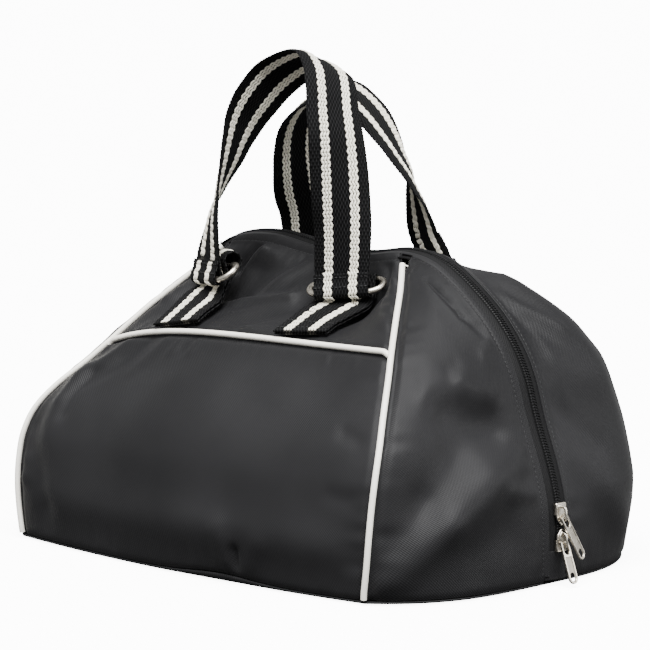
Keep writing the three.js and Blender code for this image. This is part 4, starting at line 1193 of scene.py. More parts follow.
# shares of the zip between which a hem bridges the panels beside the apex
HEM_SPANS = {"right": (APEX - 0.005, APEX + 0.014), "left": (1 - APEX - 0.021, 1 - APEX + 0.005)}


def zip_strip(name, section, start, stop, steps, material, slot, *nodes):
    """A strip along the zip; the section gives its sideways places and its levels."""
    shares = np.linspace(start, stop, steps)
    middle, _, out = zip_frame(shares)
    rings = []
    for y, level in section:
        ring = middle + out * level
        ring[:, 1] = y
        rings.append(ring)
    rings = np.stack(rings, axis=1)
    rings[..., 2] -= seam_drop(rings) * (1 - smooth_step(rings[..., 2], BASE_SEAM, 20))
    verts, faces = tube_mesh(rings)
    lengths = shares * ZIP.lengths[-1]
    flat = np.stack(np.broadcast_arrays(np.array(section)[None, :, 0], lengths[:, None]), axis=-1)
    piece = make_piece(name, verts, faces, material, flat.reshape(-1, 2))
    settle(piece, "bag", slot, *nodes)


for half, sy in HALVES.items():
    section = [(sy * y, level) for y, level in TAPE_TOP]
    section += [(sy * y, level - TAPE_THICK * 0.7) for y, level in reversed(TAPE_TOP)]
    zip_strip(f"tape_{half}", section, 1 - CHAIN_STOP, CHAIN_STOP, 360, TAPE, "zip", f"zip_tape_{half}")
    hem = [(sy * y, level + 0.05) for y, level in HEM_ROWS]
    hem += [(sy * y, level - 0.6) for y, level in HEM_ROWS[::-1]]
    for end, (start, stop) in HEM_SPANS.items():
        zip_strip(f"hem_{end}_{half}", hem, start, stop, 24, NYLON, "nylon")

PATCH = PATCH_TOP + [(y, level - PATCH_THICK) for y, level in reversed(PATCH_TOP)]
PATCH_START = CHAIN_STOP + SEAM_GAP / ZIP.lengths[-1] - PATCH_LAP
PATCH_STOP = 1 - PATCH_FOOT
zip_strip("patch_right", PATCH, PATCH_START, PATCH_STOP, 26, NYLON, "nylon", "zip_end_right")
zip_strip("patch_left", PATCH, 1 - PATCH_STOP, 1 - PATCH_START, 26, NYLON, "nylon", "zip_end_left")


# %% Coil teeth
TOOTH_PITCH = 1.9
TOOTH_SIDE = 1.15            # from the zip's middle to a tooth's middle
TOOTH_LEVEL = 0.75
TOOTH_SLANT = 1.25


def zip_line(start, stop, y, level, count=900):
    """A line along the zip and the way out of the bag."""
    middle, _, out = zip_frame(np.linspace(start, stop, count))
    line = middle + out * level
    line[:, 1] = y
    return line, out


half_pitch = TOOTH_PITCH / 2 / ZIP.lengths[-1]
tooth_rows = []
for sy, shift in ((-1, 0), (1, half_pitch)):
    line, out = zip_line(
        1 - CHAIN_STOP + shift, CHAIN_STOP + shift - half_pitch, sy * TOOTH_SIDE, TOOTH_LEVEL)
    tooth_rows.append((line, out, sy * TOOTH_SLANT))
teeth = grown(
    "zip_teeth", tooth_rows, BEADS,
    Pitch=TOOTH_PITCH * MM, Taper=0.2, Finish=COIL, **bead_size(4.0, 1.15, 1.5))
settle(teeth, "bag", "zip")
zip_strip("zip_core", CORE, 1 - CHAIN_STOP, CHAIN_STOP, 300, COIL, "zip", "zip_chain")
print("zip teeth", len(teeth.data.polygons) // BEAD_FACES)

# %% [markdown]
# ## Webbing
# The handles and their tabs are cut from one ribbed webbing, 40 mm wide, black with two cream stripes.
# The band is a row of close sections, so its ribs and its scalloped edges are real. On both faces each
# stripe is three cream strands that run side by side in zigzags, with a dim cream ground between them
# whose darkness is painted shade.

# %% Rings and the folds round them
RING_STRAIGHT = 37.5
RING_RADIUS = 8.25
RING_WIRE = 2.2
RING_TURN = math.radians(20)
RING_STEPS = 120
WIRE_SIDES = 20
# half spacing, half depth and height of a ring's middle, degrees that its outer end is raised and that its
# short side climbs with the yoke, and how far the tab stands off its far bar
RINGS = {
    ("right", "front"): (55.4, 37.1, 187.8, 5.5, 24, 0), ("left", "front"): (62.7, 45.7, 189.6, -3, 35, 3.2),
    ("right", "back"): (63, 45, 191, 8, 24, 0), ("left", "back"): (63, 45, 191, 8, 24, 0)}
FOLD_RADIUS = RING_WIRE + WEB_GAP + WEB_THICK / 2
LAYER = WEB_THICK + WEB_GAP
FLAP = 13                    # length of a handle's end that is folded back


def mirrored(place, sx, sy):
    """A place or a way of the right front carried to another quarter of the bag."""
    return np.asarray(place) * (sx, -sy, 1)


def ring_row(sx, sy):
    """Table row of a ring."""
    return RINGS["right" if sx > 0 else "left", "front" if sy < 0 else "back"]


def ring_axes(sx, sy):
    """Middle of a ring, its long side, its short side and the way off the yoke."""
    x, y, z, rise, tilt, _ = ring_row(sx, sy)
    cos = math.cos(RING_TURN)
    sin = math.sin(RING_TURN)
    long = unit(np.array([cos, sin, math.tan(math.radians(rise))]))
    off = unit(np.cross(long, (-sin, cos, math.tan(math.radians(tilt)))))
    short = np.cross(off, long)
    return tuple(mirrored(way, sx, sy) for way in ((x, -y, z), long, short, off))


def ring_piece(end, sx, half, sy):
    """A bent wire ring with straight long sides, a little uneven where it was bent."""
    middle, long, short, off = ring_axes(sx, sy)
    turn = np.linspace(0, 2 * np.pi, RING_STEPS, endpoint=False)
    along = RING_RADIUS * np.cos(turn) + np.sign(np.cos(turn) + 1e-9) * RING_STRAIGHT / 2
    centre = middle + along[:, None] * long + (RING_RADIUS * np.sin(turn))[:, None] * short
    outward = np.cos(turn)[:, None] * long + np.sin(turn)[:, None] * short
    round_turn = np.linspace(0, 2 * np.pi, WIRE_SIDES, endpoint=False)
    wire = RING_WIRE * (1 + 0.02 * np.sin(3 * turn))[:, None, None]
    rings = centre[:, None] + wire * (
        np.cos(round_turn)[None, :, None] * outward[:, None] + np.sin(round_turn)[None, :, None] * off)
    faces = ring_faces(RING_STEPS, WIRE_SIDES, closed=True)
    piece = make_piece(f"wire_ring_{end}_{half}", rings.reshape(-1, 3), faces, NICKEL)
    settle(piece, "bag", "nickel", f"ring_{end}_{half}")


def fold_turns(bar, face, bulge, sweep, steps, radius=FOLD_RADIUS):
    """Middle line of webbing that is folded round a bar."""
    turn = np.linspace(0, sweep, steps)[:, None]
    return bar + radius * (np.cos(turn) * face + np.sin(turn) * bulge)


for half, sy in HALVES.items():
    for end, sx in ENDS.items():
        ring_piece(end, sx, half, sy)

# %% Handle lines
# middle line from the right foot to the left, and the turn and the lean of the webbing's width
HANDLES = {
    "front": [
        (57, -43.2, 224.8, 28, 0), (56.2, -43.5, 245.1, 42, 0), (53.8, -42.6, 267.5, 54, 0),
        (50, -41, 290, 66, 0), (42.5, -36, 308, 74, 0), (36, -30.5, 321, 80, 0), (25, -22.5, 332, 88, 5),
        (7, -17, 339.5, 98, 20), (-11, -17, 336, 104, 31), (-29, -21, 325, 92, 37),
        (-40, -28, 310, 90, 34), (-47, -33.5, 295.5, 93, 18), (-50, -38, 282, 103, 9),
        (-53, -41.5, 267, 112, 4), (-58, -45.5, 248, 127, 0), (-61.5, -50, 227, 143, 0),
    ],
    "back": [
        (53, 46, 214, 165, 0), (51.9, 43, 226, 161, 0), (51.1, 38.5, 242, 149, 0),
        (50.3, 32.5, 258, 129, 0), (45.5, 25.7, 273, 117, 0), (39.5, 23, 284, 107, 0),
        (32.5, 21, 294, 95, 4), (23.5, 20, 303, 88, 2), (11, 19, 312, 88, -3), (-4, 18.5, 317, 88, -12),
        (-21, 18.5, 314, 88, -24), (-36, 20, 303, 85, -18), (-46.5, 22, 288, 80, -6),
        (-52.5, 25.5, 271, 75, 0), (-55.5, 30, 256, 66, 0), (-59, 37, 240, 48, 0), (-60, 43, 225, 28, 0),
    ],
}


def handle_end(sx, sy, foot, wide):
    """Middle line of a handle's end: the sewn flap, the fold round the ring, and the way back up."""
    middle, long, short, _ = ring_axes(sx, sy)
    bar = middle - short * RING_RADIUS
    if long @ wide < 0:
        long = -long
    rise = foot - bar
    up = unit(rise - long * (rise @ long))
    outside = np.cross(long, up)
    if outside[1] * sy < 0:
        outside = -outside
    sewn = LAYER / 2
    before = [(sewn, FLAP), (sewn, FLAP * 0.75), (sewn + 0.6, FLAP * 0.5), (FOLD_RADIUS - 0.5, 3.5)]
    after = [(-off, height) for off, height in reversed(before)]
    turns = fold_turns(bar, outside, -up, np.pi, 13)
    line = np.vstack([
        [bar + outside * off + up * height for off, height in before], turns,
        [bar + outside * off + up * height for off, height in after]])
    return line, np.broadcast_to(long, line.shape)


def handle_line(rows, sy):
    """Middle line of a whole handle and the way across its webbing."""
    rows = np.array(rows, float)
    turn = np.radians(rows[:, 3])
    lean = np.radians(rows[:, 4])
    wide = point(np.cos(lean) * np.cos(turn), np.cos(lean) * np.sin(turn), -np.sin(lean))
    middle = rows[:, :3]
    right, right_wide = handle_end(1, sy, middle[0], wide[0])
    left, left_wide = handle_end(-1, sy, middle[-1], wide[-1])
    rough = np.vstack([right[-1:], middle, left[-1:]])
    rough_wide = np.vstack([right_wide[-1:], wide, left_wide[-1:]])
    places = np.linspace(0, 1, 400)
    arch = Line(rough).at(places)
    arch_wide = unit(Line(rough_wide).at(places))
    line = np.vstack([right[:-1], arch, left[-2::-1]])
    return line, np.vstack([right_wide[:-1], arch_wide, left_wide[-2::-1]])


# %% Bands of webbing
COLUMNS = 47                 # points across a face of the webbing
RIB_DEPTH = 0.42
STRIPE_DEPTH = 0.08          # depth of the ribs under a stripe
SCALLOP = 0.22               # how far the ribs stand out at the edges
BEND = 1.8                   # how far a handle's edges are bent out of its plane
FACE_UP = WEB_THICK / 2 + 0.1   # height of strands and stitches above the webbing's middle


class Band:
    """Close sections along a band of webbing, with the way along, across and out of it."""

    def __init__(self, line, wide, step=0.74):
        lengths = np.concatenate([[0], np.cumsum(np.linalg.norm(np.diff(line, axis=0), axis=1))])
        self.length = lengths[-1]
        self.s = np.linspace(0, self.length, int(self.length / step))
        self.middle = np.stack([np.interp(self.s, lengths, line[:, k]) for k in range(3)], axis=1)
        wide = np.stack([np.interp(self.s, lengths, wide[:, k]) for k in range(3)], axis=1)
        for _ in range(3):
            self.middle[1:-1] = 0.25 * self.middle[:-2] + 0.5 * self.middle[1:-1] + 0.25 * self.middle[2:]
        run = unit(np.gradient(self.middle, axis=0))
        self.thick = unit(np.cross(run, wide))
        self.across = np.cross(self.thick, run)

    def at(self, s, off, level):
        """Places at lengths s along the band, off its middle line and above it."""
        def pick(rows):
            return np.stack([np.interp(s, self.s, rows[:, k]) for k in range(3)], axis=1)
        thick = unit(pick(self.thick))
        return pick(self.middle) + pick(self.across) * off + thick * level, thick


def rib_height(s, a):
    """Height of the ribs: whole ribs in the margins and staggered bumps between the stripes."""
    x = np.abs(a) * WEB_WIDTH / 2
    column = np.floor((a * WEB_WIDTH / 2 + 100) / THREAD_WIDE).astype(int) % 2
    staggered = np.abs(np.sin(np.pi * s / (2 * RIB) + column * np.pi / 2))
    wave = np.where(x < STRIPE - STRIPE_HALF, staggered, np.abs(np.sin(np.pi * s / RIB)))
    depth = np.where(np.abs(x - STRIPE) < STRIPE_HALF, STRIPE_DEPTH, RIB_DEPTH)
    return depth * (wave - 0.6)


def band_piece(name, band, node_name, bend=0.0):
    """A band of webbing with its ribs and scalloped edges."""
    a = np.linspace(-1, 1, COLUMNS)
    s = band.s[:, None]
    edge = 1 - 0.5 * np.abs(a) ** 16
    scallop = SCALLOP * np.abs(np.sin(np.pi * s / RIB)) * np.abs(a) ** 10
    off = a * (WEB_WIDTH / 2 - 0.2) + np.sign(a) * scallop
    level = WEB_THICK / 2 * edge * 0.86 + rib_height(s, a)
    bent = bend * a**4 * smooth_step(np.minimum(s, band.length - s), 40, 70)
    sides = []
    for face in (1, -1):
        side = band.middle[:, None] + band.across[:, None] * off[..., None]
        sides.append(side + band.thick[:, None] * (face * level + bent)[..., None])
    rings = np.concatenate([sides[0], sides[1][:, ::-1]], axis=1)
    verts, faces = tube_mesh(rings)
    x = np.concatenate([a, a[::-1]]) * WEB_WIDTH / 2
    flat = np.stack(np.broadcast_arrays(x[None, :], s), axis=-1).reshape(-1, 2)
    piece = make_piece(name, verts, faces, WEBBING, flat)
    settle(piece, "bag", "webbing", node_name)


BRAID_PITCH = 5.2
BRAID = (-2.1, 0.0, 2.1)     # places of a stripe's three strands across it
ZIGZAG = 0.52                # slant of a strand, to one side and then to the other


def braid_paths(band, start, stop, face):
    """Strands of each stripe that run side by side in zigzags, as two rows of slanted drops each."""
    paths = []
    for stripe in (-STRIPE, STRIPE):
        for column in BRAID:
            for shift, slant in ((0, ZIGZAG), (BRAID_PITCH / 2, -ZIGZAG)):
                s = np.arange(start + shift, stop, BRAID_PITCH)
                line, thick = band.at(s, stripe + column, face * FACE_UP)
                paths.append((line, thick * face, face * slant))
    return paths


def stripe_piece(name, braids):
    """The strands of a band's stripes."""
    settle(grown(name, braids, STRANDS, Finish=YARN, **bead_size(4.4, 1.72, 1.3)), "bag", "webbing")


BANDS = {}
FOLD_RUN = FLAP + np.pi * FOLD_RADIUS * 0.75
for half, sy in HALVES.items():
    band = Band(*handle_line(HANDLES[half], sy))
    BANDS["handle_" + half] = band
    band_piece("webbing_" + half, band, "handle_" + half, BEND)
    end = band.length
    foot = 2 * FLAP + np.pi * FOLD_RADIUS
    braids = braid_paths(band, 0.6, FOLD_RUN, 1) + braid_paths(band, end - FOLD_RUN, end - 0.6, 1)
    braids += braid_paths(band, foot + 0.8, end - foot - 0.8, -1)
    stripe_piece(f"stripes_{half}_braid", braids)
    stripe_piece(f"stripes_{half}_inner", braid_paths(band, foot - FLAP, end - foot + FLAP, 1))
    print("handle", half, round(band.length), "mm of webbing")

# %% Tabs
# place up the yoke and along it, and how far the tab's lower layer is lifted
TABS = {
    ("right", "front"): [(0.065, 56, 2.2), (0.2, 52.6, 3), (0.3, 52, 4), (0.38, 52.6, 5)],
    ("left", "front"): [(0.045, -61.4, 2.2), (0.18, -63.8, 3), (0.3, -64.6, 4), (0.38, -65, 5)],
    ("right", "back"): [(0.1, 53.5, 2.7), (0.2, 55.5, 3.4), (0.3, 58.5, 4.2), (0.38, 62, 5.2)],
    ("left", "back"): [(0.1, -66.5, 2.7), (0.2, -65.5, 3.4), (0.3, -64.5, 4.2), (0.38, -64, 5.2)]}
# from the ring's middle across it and off it: the layer under the ring and the one that comes back over it
TAB_UNDER = [(-7, -8.9), (0.5, -5.6)]
TAB_OVER = [(-0.5, -2.9), (-7, -6.6)]
TAB_TURN = math.radians(225)
TAB_STEPS = 14


def tab_line(end, half, sx, sy):
    """Middle line of a tab: up the yoke, under the ring, round its far bar and back over itself."""
    yoke = PANELS[half + "_yoke"]

    def on_yoke(layer):
        v, x, lift = np.array(TABS[end, half]).T
        left = yoke.folded(np.zeros(4), v)[:, 0]
        spread_x = yoke.folded(np.ones(4), v)[:, 0] - left
        u = (x - left) / spread_x
        half_u = sx * WEB_WIDTH / 2 / spread_x
        wide = unit(yoke.folded(u + half_u, v) - yoke.folded(u - half_u, v))
        level = lift + WEB_THICK / 2 + layer * LAYER
        return yoke.folded(u, v) + yoke.outward(u, v) * level[:, None], wide

    centre, long, short, off = ring_axes(sx, sy)
    under = np.array([centre + short * a + off * b for a, b in TAB_UNDER])
    over = np.array([centre + short * a + off * b for a, b in TAB_OVER])
    loop = ring_row(sx, sy)[-1]
    turns = fold_turns(
        centre + short * RING_RADIUS + off * loop, -off, short, TAB_TURN, TAB_STEPS, FOLD_RADIUS + loop)
    low, low_wide = on_yoke(0)
    high, high_wide = on_yoke(1)
    line = np.vstack([low, under, turns, over, high[::-1]])
    ringed = np.broadcast_to(long, (len(under) + len(turns) + len(over), 3))
    return line, np.vstack([low_wide, ringed, high_wide[::-1]])


def eased(line, wide, start, stop):
    """The line with a smooth run through its coarse places, outside the fold."""
    places = np.linspace(0, 1, 50)
    first = Line(line[:start + 1]).at(places)
    last = Line(line[stop:]).at(places)
    first_wide = unit(Line(wide[:start + 1]).at(places))
    last_wide = unit(Line(wide[stop:]).at(places))
    return (np.vstack([first, line[start + 1:stop], last]),
            np.vstack([first_wide, wide[start + 1:stop], last_wide]))


for half, sy in HALVES.items():
    for end, sx in ENDS.items():
        line, wide = tab_line(end, half, sx, sy)
        fold = len(TABS[end, half]) + len(TAB_UNDER)
        band = Band(*eased(line, wide, fold, fold + TAB_STEPS - 1))
        name = f"tab_{end}_{half}"
        BANDS[name] = band
        band_piece(f"webbing_{name}", band, name)
        braids = braid_paths(band, band.length * 0.44, band.length - 1.2, -sx * sy)
        stripe_piece(f"stripes_{name}_braid", braids)
print("tabs", round(band.length), "mm of webbing each")

# %% [markdown]
# ## Sliders and pulls
# Two metal sliders meet near the foot of the right end. Each has a crowned plate, two flanges that hold
# the tapes, and a bridge. A long pull hangs from each bridge: a plate with a raised rim, an eye for the
# bridge and a hole near its tip. Flat outlines are drawn as curves, given their thickness and round
# edges, and then placed on the zip.

# %% Outlines with thickness
def outline_solid(loops, depth, bevel, level):
    """A plate from closed outlines, with round edges, centred on a level; the first loop is the outside."""
    curve = bpy.data.curves.new("outline", "CURVE")
    curve.dimensions = "2D"
    curve.fill_mode = "BOTH"
    curve.extrude = (depth / 2 - bevel) * MM
    curve.bevel_depth = bevel * MM
    curve.bevel_resolution = 3
    curve.offset = -bevel * MM
    for loop in loops:
        spline = curve.splines.new("POLY")
        spline.points.add(len(loop) - 1)
        flat = np.zeros((len(loop), 4))
        flat[:, :2] = np.asarray(loop) * MM
        flat[:, 3] = 1
        spline.points.foreach_set("co", flat.ravel())
        spline.use_cyclic_u = True
    obj = make_object("outline", curve)
    bpy.context.view_layer.update()
    mesh = bpy.data.meshes.new_from_object(obj.evaluated_get(bpy.context.evaluated_depsgraph_get()))
    bpy.data.objects.remove(obj)
    mesh.transform(Matrix.Translation((0, 0, level * MM)))
    return mesh


def arc(x, y, radius, start, stop, steps):
    """Points on part of a circle, between angles in degrees."""
    turn = np.radians(np.linspace(start, stop, steps))
    return np.stack([x + radius * np.cos(turn), y + radius * np.sin(turn)], axis=1)


def joined(name, meshes, matrix, sunk=()):
    """One smooth-shaded metal piece from several meshes, the sunk ones rougher, and darker as painted shade,
    placed by a matrix.
    """
    verts = []
    faces = []
    finish = []
    for mesh in [*meshes, *sunk]:
        finish += [int(mesh in sunk)] * len(mesh.polygons)
        start = len(verts)
        verts += [tuple(vertex.co) for vertex in mesh.vertices]
        faces += [tuple(start + i for i in polygon.vertices) for polygon in mesh.polygons]
    whole = bpy.data.meshes.new(name)
    whole.from_pydata(verts, [], faces)
    whole.transform(matrix)
    whole.polygons.foreach_set("use_smooth", np.ones(len(whole.polygons), bool))
    whole.materials.append(NICKEL)
    if sunk:
        whole.materials.append(SUNK_NICKEL_PAINTED_SHADE)
        whole.polygons.foreach_set("material_index", finish)
    piece = make_object(name, whole)
    whole.set_sharp_from_angle(angle=math.radians(40))
    return piece


def end_frame(height):
    """Frame on the right end: X across the zip, Y up along it, Z outwards."""
    share = zip_share(lambda p: (p[:, 0] > END_REACH) & (p[:, 2] <= height))
    middle, run, out = zip_frame(np.array(share))
    up = -run
    return frame_matrix(np.cross(up, out), up, out, middle * MM)


# %% Slider bodies
SLIDER_LENGTH = 15
SLIDER_LEVEL = 1.5           # underside of a slider's plate above the zip's middle
PLATE_THICK = 1.6
CROWN_THICK = 0.9
CROWN_LEVEL = 1.55           # from the plate's underside to the middle of the crown
CROWN_SHARE = (0.62, 0.8)    # the crown's width and length as shares of the plate's
BRIDGE_WIDE = 1.6
FLANGE_SIDE = 4.4            # from the zip's middle to a flange's middle
FLANGE_HALF = (0.6, 3.75)
FLANGE_TALL = 2.0
FLANGE_LEVEL = 1.35
# place along the plate, from its wide end to its point, and half width there
WAIST = np.array([(-7.5, 4.3), (-6.6, 5.0), (-2.0, 4.7), (1.1, 4.75), (4.0, 3.9), (6.2, 2.2), (7.5, 1.0)])
# outline of the bridge along the zip and off it, over its outside and back along its inside
ARCH = [
    (-5.25, 2.3), (-5.2, 5.0), (-4.4, 6.7), (-2.4, 7.3), (2.4, 7.3), (4.4, 6.7), (5.2, 5.0), (5.25, 2.3),
    (3.85, 2.3), (3.8, 4.6), (3.2, 5.6), (2.0, 5.9), (-2.0, 5.9), (-3.2, 5.6), (-3.8, 4.6), (-3.85, 2.3)]
UPRIGHT = Matrix(((0, 0, 1, 0), (1, 0, 0, 0), (0, 1, 0, 0), (0, 0, 0, 1)))


def slider_piece(name, height, tip):
    """A slider whose narrow point faces up or down the zip."""
    waist = tip * WAIST[:, 0]
    smooth = np.linspace(0, 1, 40)
    y = np.interp(smooth, np.linspace(0, 1, len(WAIST)), waist)
    x = Line(np.stack([WAIST[:, 1], waist, waist * 0], axis=1)).at(smooth)[:, 0]
    loop = np.vstack([np.stack([x, y], 1), np.stack([-x, y], 1)[::-1]])
    if tip > 0:
        loop = loop[::-1]
    plate = outline_solid([loop], PLATE_THICK, 0.45, SLIDER_LEVEL + PLATE_THICK / 2)
    crown = outline_solid([loop * CROWN_SHARE], CROWN_THICK, 0.35, SLIDER_LEVEL + CROWN_LEVEL)
    bridge = outline_solid([ARCH], BRIDGE_WIDE, 0.3, 0)
    bridge.transform(UPRIGHT)
    middle = -tip * SLIDER_LENGTH / 2 * 0.45
    flanges = []
    for sx in (-1, 1):
        box = [(sx * FLANGE_SIDE + a * FLANGE_HALF[0], middle + b * FLANGE_HALF[1])
               for a, b in ((-1, -1), (1, -1), (1, 1), (-1, 1))]
        flanges.append(outline_solid([box], FLANGE_TALL, 0.3, FLANGE_LEVEL))
    return joined(name, [plate, crown, bridge, *flanges], end_frame(height))


# %% Pull plates
PULL_HALF = 4.2
PULL_LEVEL = 4.5             # height of a pull's hinge above the zip's middle
NECK_HALF = 3.9
NECK_TALL = 0.85             # metal above and below the hinge
EYE_HALF = 2.65
EYE_LENGTH = 8
HOLE_HALF = 2.1
RIM_INNER = 2.8              # half width of the opening in the rim
RIM_TOP = -9.8
RIM_THICK = 1.7
SUNK_THICK = 0.7


def pull_piece(name, length, height, aside, lean, twist):
    """A pull with a raised rim round a sunk middle, an eye for the bridge and a long hole near its tip."""
    tip = -length + PULL_HALF
    side = -length * 0.5
    outer = np.vstack([
        [(NECK_HALF, NECK_TALL), (-NECK_HALF, NECK_TALL), (-PULL_HALF, side)],
        arc(0, tip, PULL_HALF, 180, 360, 25), [(PULL_HALF, side)]])
    eye = np.vstack([
        [(-EYE_HALF, -NECK_TALL), (EYE_HALF, -NECK_TALL)],
        arc(0, EYE_HALF - EYE_LENGTH, EYE_HALF, 0, -180, 17)])
    hole = np.vstack([arc(0, tip + 1.4, HOLE_HALF, 0, 180, 13), arc(0, tip - 0.3, HOLE_HALF, 180, 360, 13)])
    inset = np.vstack([[(RIM_INNER, RIM_TOP), (-RIM_INNER, RIM_TOP)], arc(0, tip, RIM_INNER, 180, 360, 25)])
    sunk = np.vstack([[(3.1, -9.2), (-3.1, -9.2)], arc(0, tip, 3.2, 180, 360, 25)])
    rim = outline_solid([outer, eye, inset], RIM_THICK, 0.4, 0)
    plate = outline_solid([sunk, hole], SUNK_THICK, 0.1, 0)
    swing = Matrix.Translation((0, 0, PULL_LEVEL * MM)) @ Matrix.Rotation(math.radians(aside), 4, "Z")
    swing = swing @ Matrix.Rotation(math.radians(-lean), 4, "X")
    swing = swing @ Matrix.Rotation(math.radians(twist), 4, "Y")
    # the sunk plate takes the darker nickel, painted shade in the recess
    return joined(name, [rim], end_frame(height) @ swing, [plate])


settle(slider_piece("slider_body_upper", height=47.5, tip=-1), "bag", "nickel", "slider_upper")
settle(slider_piece("slider_body_lower", height=30, tip=1), "bag", "nickel", "slider_lower")
upper = pull_piece("pull_plate_upper", length=34, height=45.7, aside=28, lean=3, twist=14)
settle(upper, "pull_upper", "nickel", "pull_upper")
lower = pull_piece("pull_plate_lower", length=27.8, height=28.5, aside=0, lean=18, twist=0)
settle(lower, "pull_lower", "nickel", "pull_lower")
print("sliders and pulls placed on the right end")

# %% [markdown]
# ## Stitches
# Rows of black thread hold the cloth to the zip tapes, the flaps of the handles to themselves, and the
# tabs to the yokes. Each stitch is a short bead that lies along its row and sinks a little into the
# cloth.

# %% Rows of stitches
ZIP_STITCH = 3.4             # from stitch to stitch beside the zip
WEB_STITCH = 3.0             # the same on the webbing
WEB_ROW = 18.6               # half length of a row across the webbing
HANDLE_ROWS = (2.5, FLAP - 3.5)   # from a handle's ends to its rows
TAB_ROWS = (5.5, 16)         # from a tab's upper end to its rows
STITCH_LIFT = 0.05

stitched = -1 - len(HEM_ROWS) - NEAR_ZIP.index(round(HEM - HEM_GAP, 2))
rows = []
for name, (_, outer, outward) in CLOTHS.items():
    if "yoke" in name:
        pick = (slice(4, -4), stitched)
    elif "side" in name:
        pick = (stitched, slice(4, -2))
    else:
        continue
    rows.append((outer[pick] + outward[pick] * STITCH_LIFT, outward[pick], 0.0))
seam_thread = grown(
    "zip_stitches", rows, BEADS, Pitch=ZIP_STITCH * MM, Finish=THREAD, **bead_size(2.6, 0.6, 0.6))
settle(seam_thread, "bag", "nylon")

rows = []
for name, band in BANDS.items():
    if name.startswith("handle"):
        ends = [(s, 1) for s in HANDLE_ROWS] + [(band.length - s, 1) for s in HANDLE_ROWS]
    else:
        sx = 1 if "right" in name else -1
        sy = HALVES[name.split("_")[2]]
        ends = [(band.length - s, -sx * sy) for s in TAB_ROWS]
    for s, face in ends:
        spots = [band.at(np.array([s]), off, face * FACE_UP) for off in np.linspace(-WEB_ROW, WEB_ROW, 40)]
        line = np.vstack([spot[0] for spot in spots])
        up = np.vstack([spot[1] for spot in spots]) * face
        rows.append((line, up, 0.0))
web_thread = grown(
    "webbing_stitches", rows, BEADS, Pitch=WEB_STITCH * MM, Finish=THREAD, **bead_size(2.5, 0.7, 0.7))
settle(web_thread, "bag", "webbing")
print("stitches", (len(seam_thread.data.polygons) + len(web_thread.data.polygons)) // BEAD_FACES)

# %% [markdown]
# ## Cuts of cloth
# Cloth hardly stretches, so the flat cut that each piece was sewn from is worked out and printed. A cut's
# width and length come from the seams round it, and its area from the taut surface between them.

# %% Flat cuts
def surface_area(panel):
    """Area of a panel's taut surface, in square millimetres."""
    u, v = np.meshgrid(np.linspace(0, 1, 80), np.linspace(0, 1, 80), indexing="ij")
    places = panel.taut(u, v)
    a = places[1:, :-1] - places[:-1, :-1]
    b = places[:-1, 1:] - places[:-1, :-1]
    return np.linalg.norm(np.cross(a, b), axis=-1).sum()


def seam_length(edge):
    """Length of a panel's edge."""
    return np.linalg.norm(np.diff(edge(np.linspace(0, 1, 200)), axis=0), axis=1).sum()


for name, (piece, _, _) in CLOTHS.items():
    panel = PANELS[name]
    width = max(seam_length(panel.edges["bottom"]), seam_length(panel.edges["top"]))
    length = max(seam_length(panel.edges["left"]), seam_length(panel.edges["right"]))
    area = surface_area(panel)
    print("cut", name, round(width), "x", round(length), "mm,", round(area / 100), "square cm")
outline = base_outline()[:, :2]
ahead = np.roll(outline, -1, axis=0)
area = abs((outline[:, 0] * ahead[:, 1] - outline[:, 1] * ahead[:, 0]).sum()) / 2
width, length = np.ptp(outline, axis=0) + 2 * BASE_SEAM
area += 2 * BASE_SEAM * (width + length)
print("cut base", round(width), "x", round(length), "mm,", round(area / 100), "square cm")

# %% [markdown]
# ## Floor, light and camera
# The bag stands on a plain pale floor under soft studio light: a broad light above, a softer one from the
# upper right, and two low ones from the right that bring out the sheen of the nylon. A long lens looks at
# the front right corner from a little above.

# %% Floor
FLOOR_REACH = 40.0           # half width, in metres
FLOOR_LEVEL = -0.0005
FLOOR_DARK = (0.06, 0.06, 0.06)   # for the light that it throws back
FLOOR_PALE = (0.95, 0.95, 0.95)   # for the eye
FLOOR_GLOW = 9.0


def floor_finish():
    """A pale floor that throws little light back up at the bag."""
    material, tree, shader = new_material("pale floor", Roughness=0.8, Specular_IOR_Level=0.1)
    shader.inputs["Emission Color"].default_value = (1, 1, 1, 1)
    path = tree.nodes.new("ShaderNodeLightPath")
    seen = path.outputs["Is Camera Ray"]
    tree.links.new(blend_colours(tree, seen, FLOOR_DARK, FLOOR_PALE), shader.inputs["Base Color"])
    tree.links.new(math_node(tree, "MULTIPLY", seen, FLOOR_GLOW), shader.inputs["Emission Strength"])
    return material


mesh = bpy.data.meshes.new("floor")
corners = [(x * FLOOR_REACH, y * FLOOR_REACH, 0) for x, y in ((-1, -1), (1, -1), (1, 1), (-1, 1))]
mesh.from_pydata(corners, [], [(0, 1, 2, 3)])
mesh.materials.append(floor_finish())
floor = make_object("floor", mesh)
floor.location.z = FLOOR_LEVEL

# %% Light
SUN_PLACE = (0.45, -0.75, 2.0)
SUN_POWER = 11.2
SUN_WIDE = math.radians(50)
WORLD_POWER = 0.63
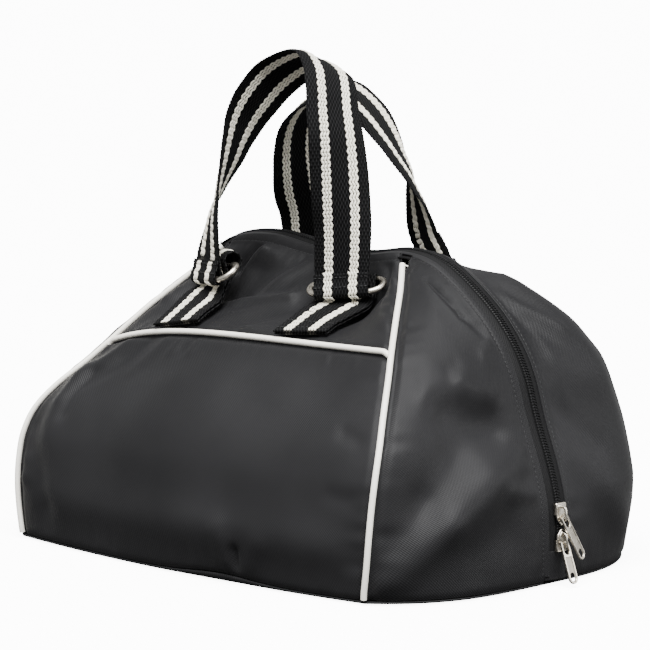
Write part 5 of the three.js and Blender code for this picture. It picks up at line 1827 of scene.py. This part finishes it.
# place, target and size in metres, and power, of each soft light
SOFT_LIGHTS = {
    "upper right": ((1.3, -0.6, 1.8), (0, 0, 0.2), (0.7, 0.7), 13),
    "right": ((1.9, 0.35, 0.75), (0, 0, 0.12), (0.8, 1.2), 17),
    "right back": ((1.5, 1.6, 0.5), (0.2, 0, 0.12), (0.8, 1.0), 11),
}


def aimed(light, place, target):
    """Point a light from its place at a target."""
    back = unit(np.array(place, float) - np.array(target, float))
    right = unit(np.cross((0, 0, 1), back))
    light.matrix_world = frame_matrix(right, np.cross(back, right), back, place)


sky = bpy.data.lights.new("top", "SUN")
sky.energy = SUN_POWER
sky.angle = SUN_WIDE
aimed(make_object("top", sky), SUN_PLACE, (0, 0, 0))
for name, (place, target, size, power) in SOFT_LIGHTS.items():
    soft = bpy.data.lights.new(name, "AREA")
    soft.shape = "RECTANGLE"
    soft.size = size[0]
    soft.size_y = size[1]
    soft.energy = power
    aimed(make_object(name, soft), place, target)
world = bpy.data.worlds.new("studio")
world.use_nodes = True
background = world.node_tree.nodes["Background"]
background.inputs["Color"].default_value = (1, 1, 1, 1)
background.inputs["Strength"].default_value = WORLD_POWER
bpy.context.scene.world = world

# %% Camera
CAMERA_TURN = math.radians(43.89)
CAMERA_RISE = math.radians(7.53)
CAMERA_SHIFT = (-0.0004, 0.1517, 2.454)   # metres to the right, up and back from the frame's origin
LENS = 193.85
SENSOR = 36

level = math.cos(CAMERA_RISE)
back = np.array([math.sin(CAMERA_TURN) * level, -math.cos(CAMERA_TURN) * level, math.sin(CAMERA_RISE)])
right = np.array([math.cos(CAMERA_TURN), math.sin(CAMERA_TURN), 0])
up = np.cross(back, right)
place = right * CAMERA_SHIFT[0] + up * CAMERA_SHIFT[1] + back * CAMERA_SHIFT[2]
lens = bpy.data.cameras.new("camera")
lens.lens = LENS
lens.sensor_width = SENSOR
lens.sensor_fit = "HORIZONTAL"
camera = make_object("camera", lens)
camera.matrix_world = frame_matrix(right, up, back, place)
bpy.context.scene.camera = camera

# %% Scene update
bpy.context.view_layer.update()
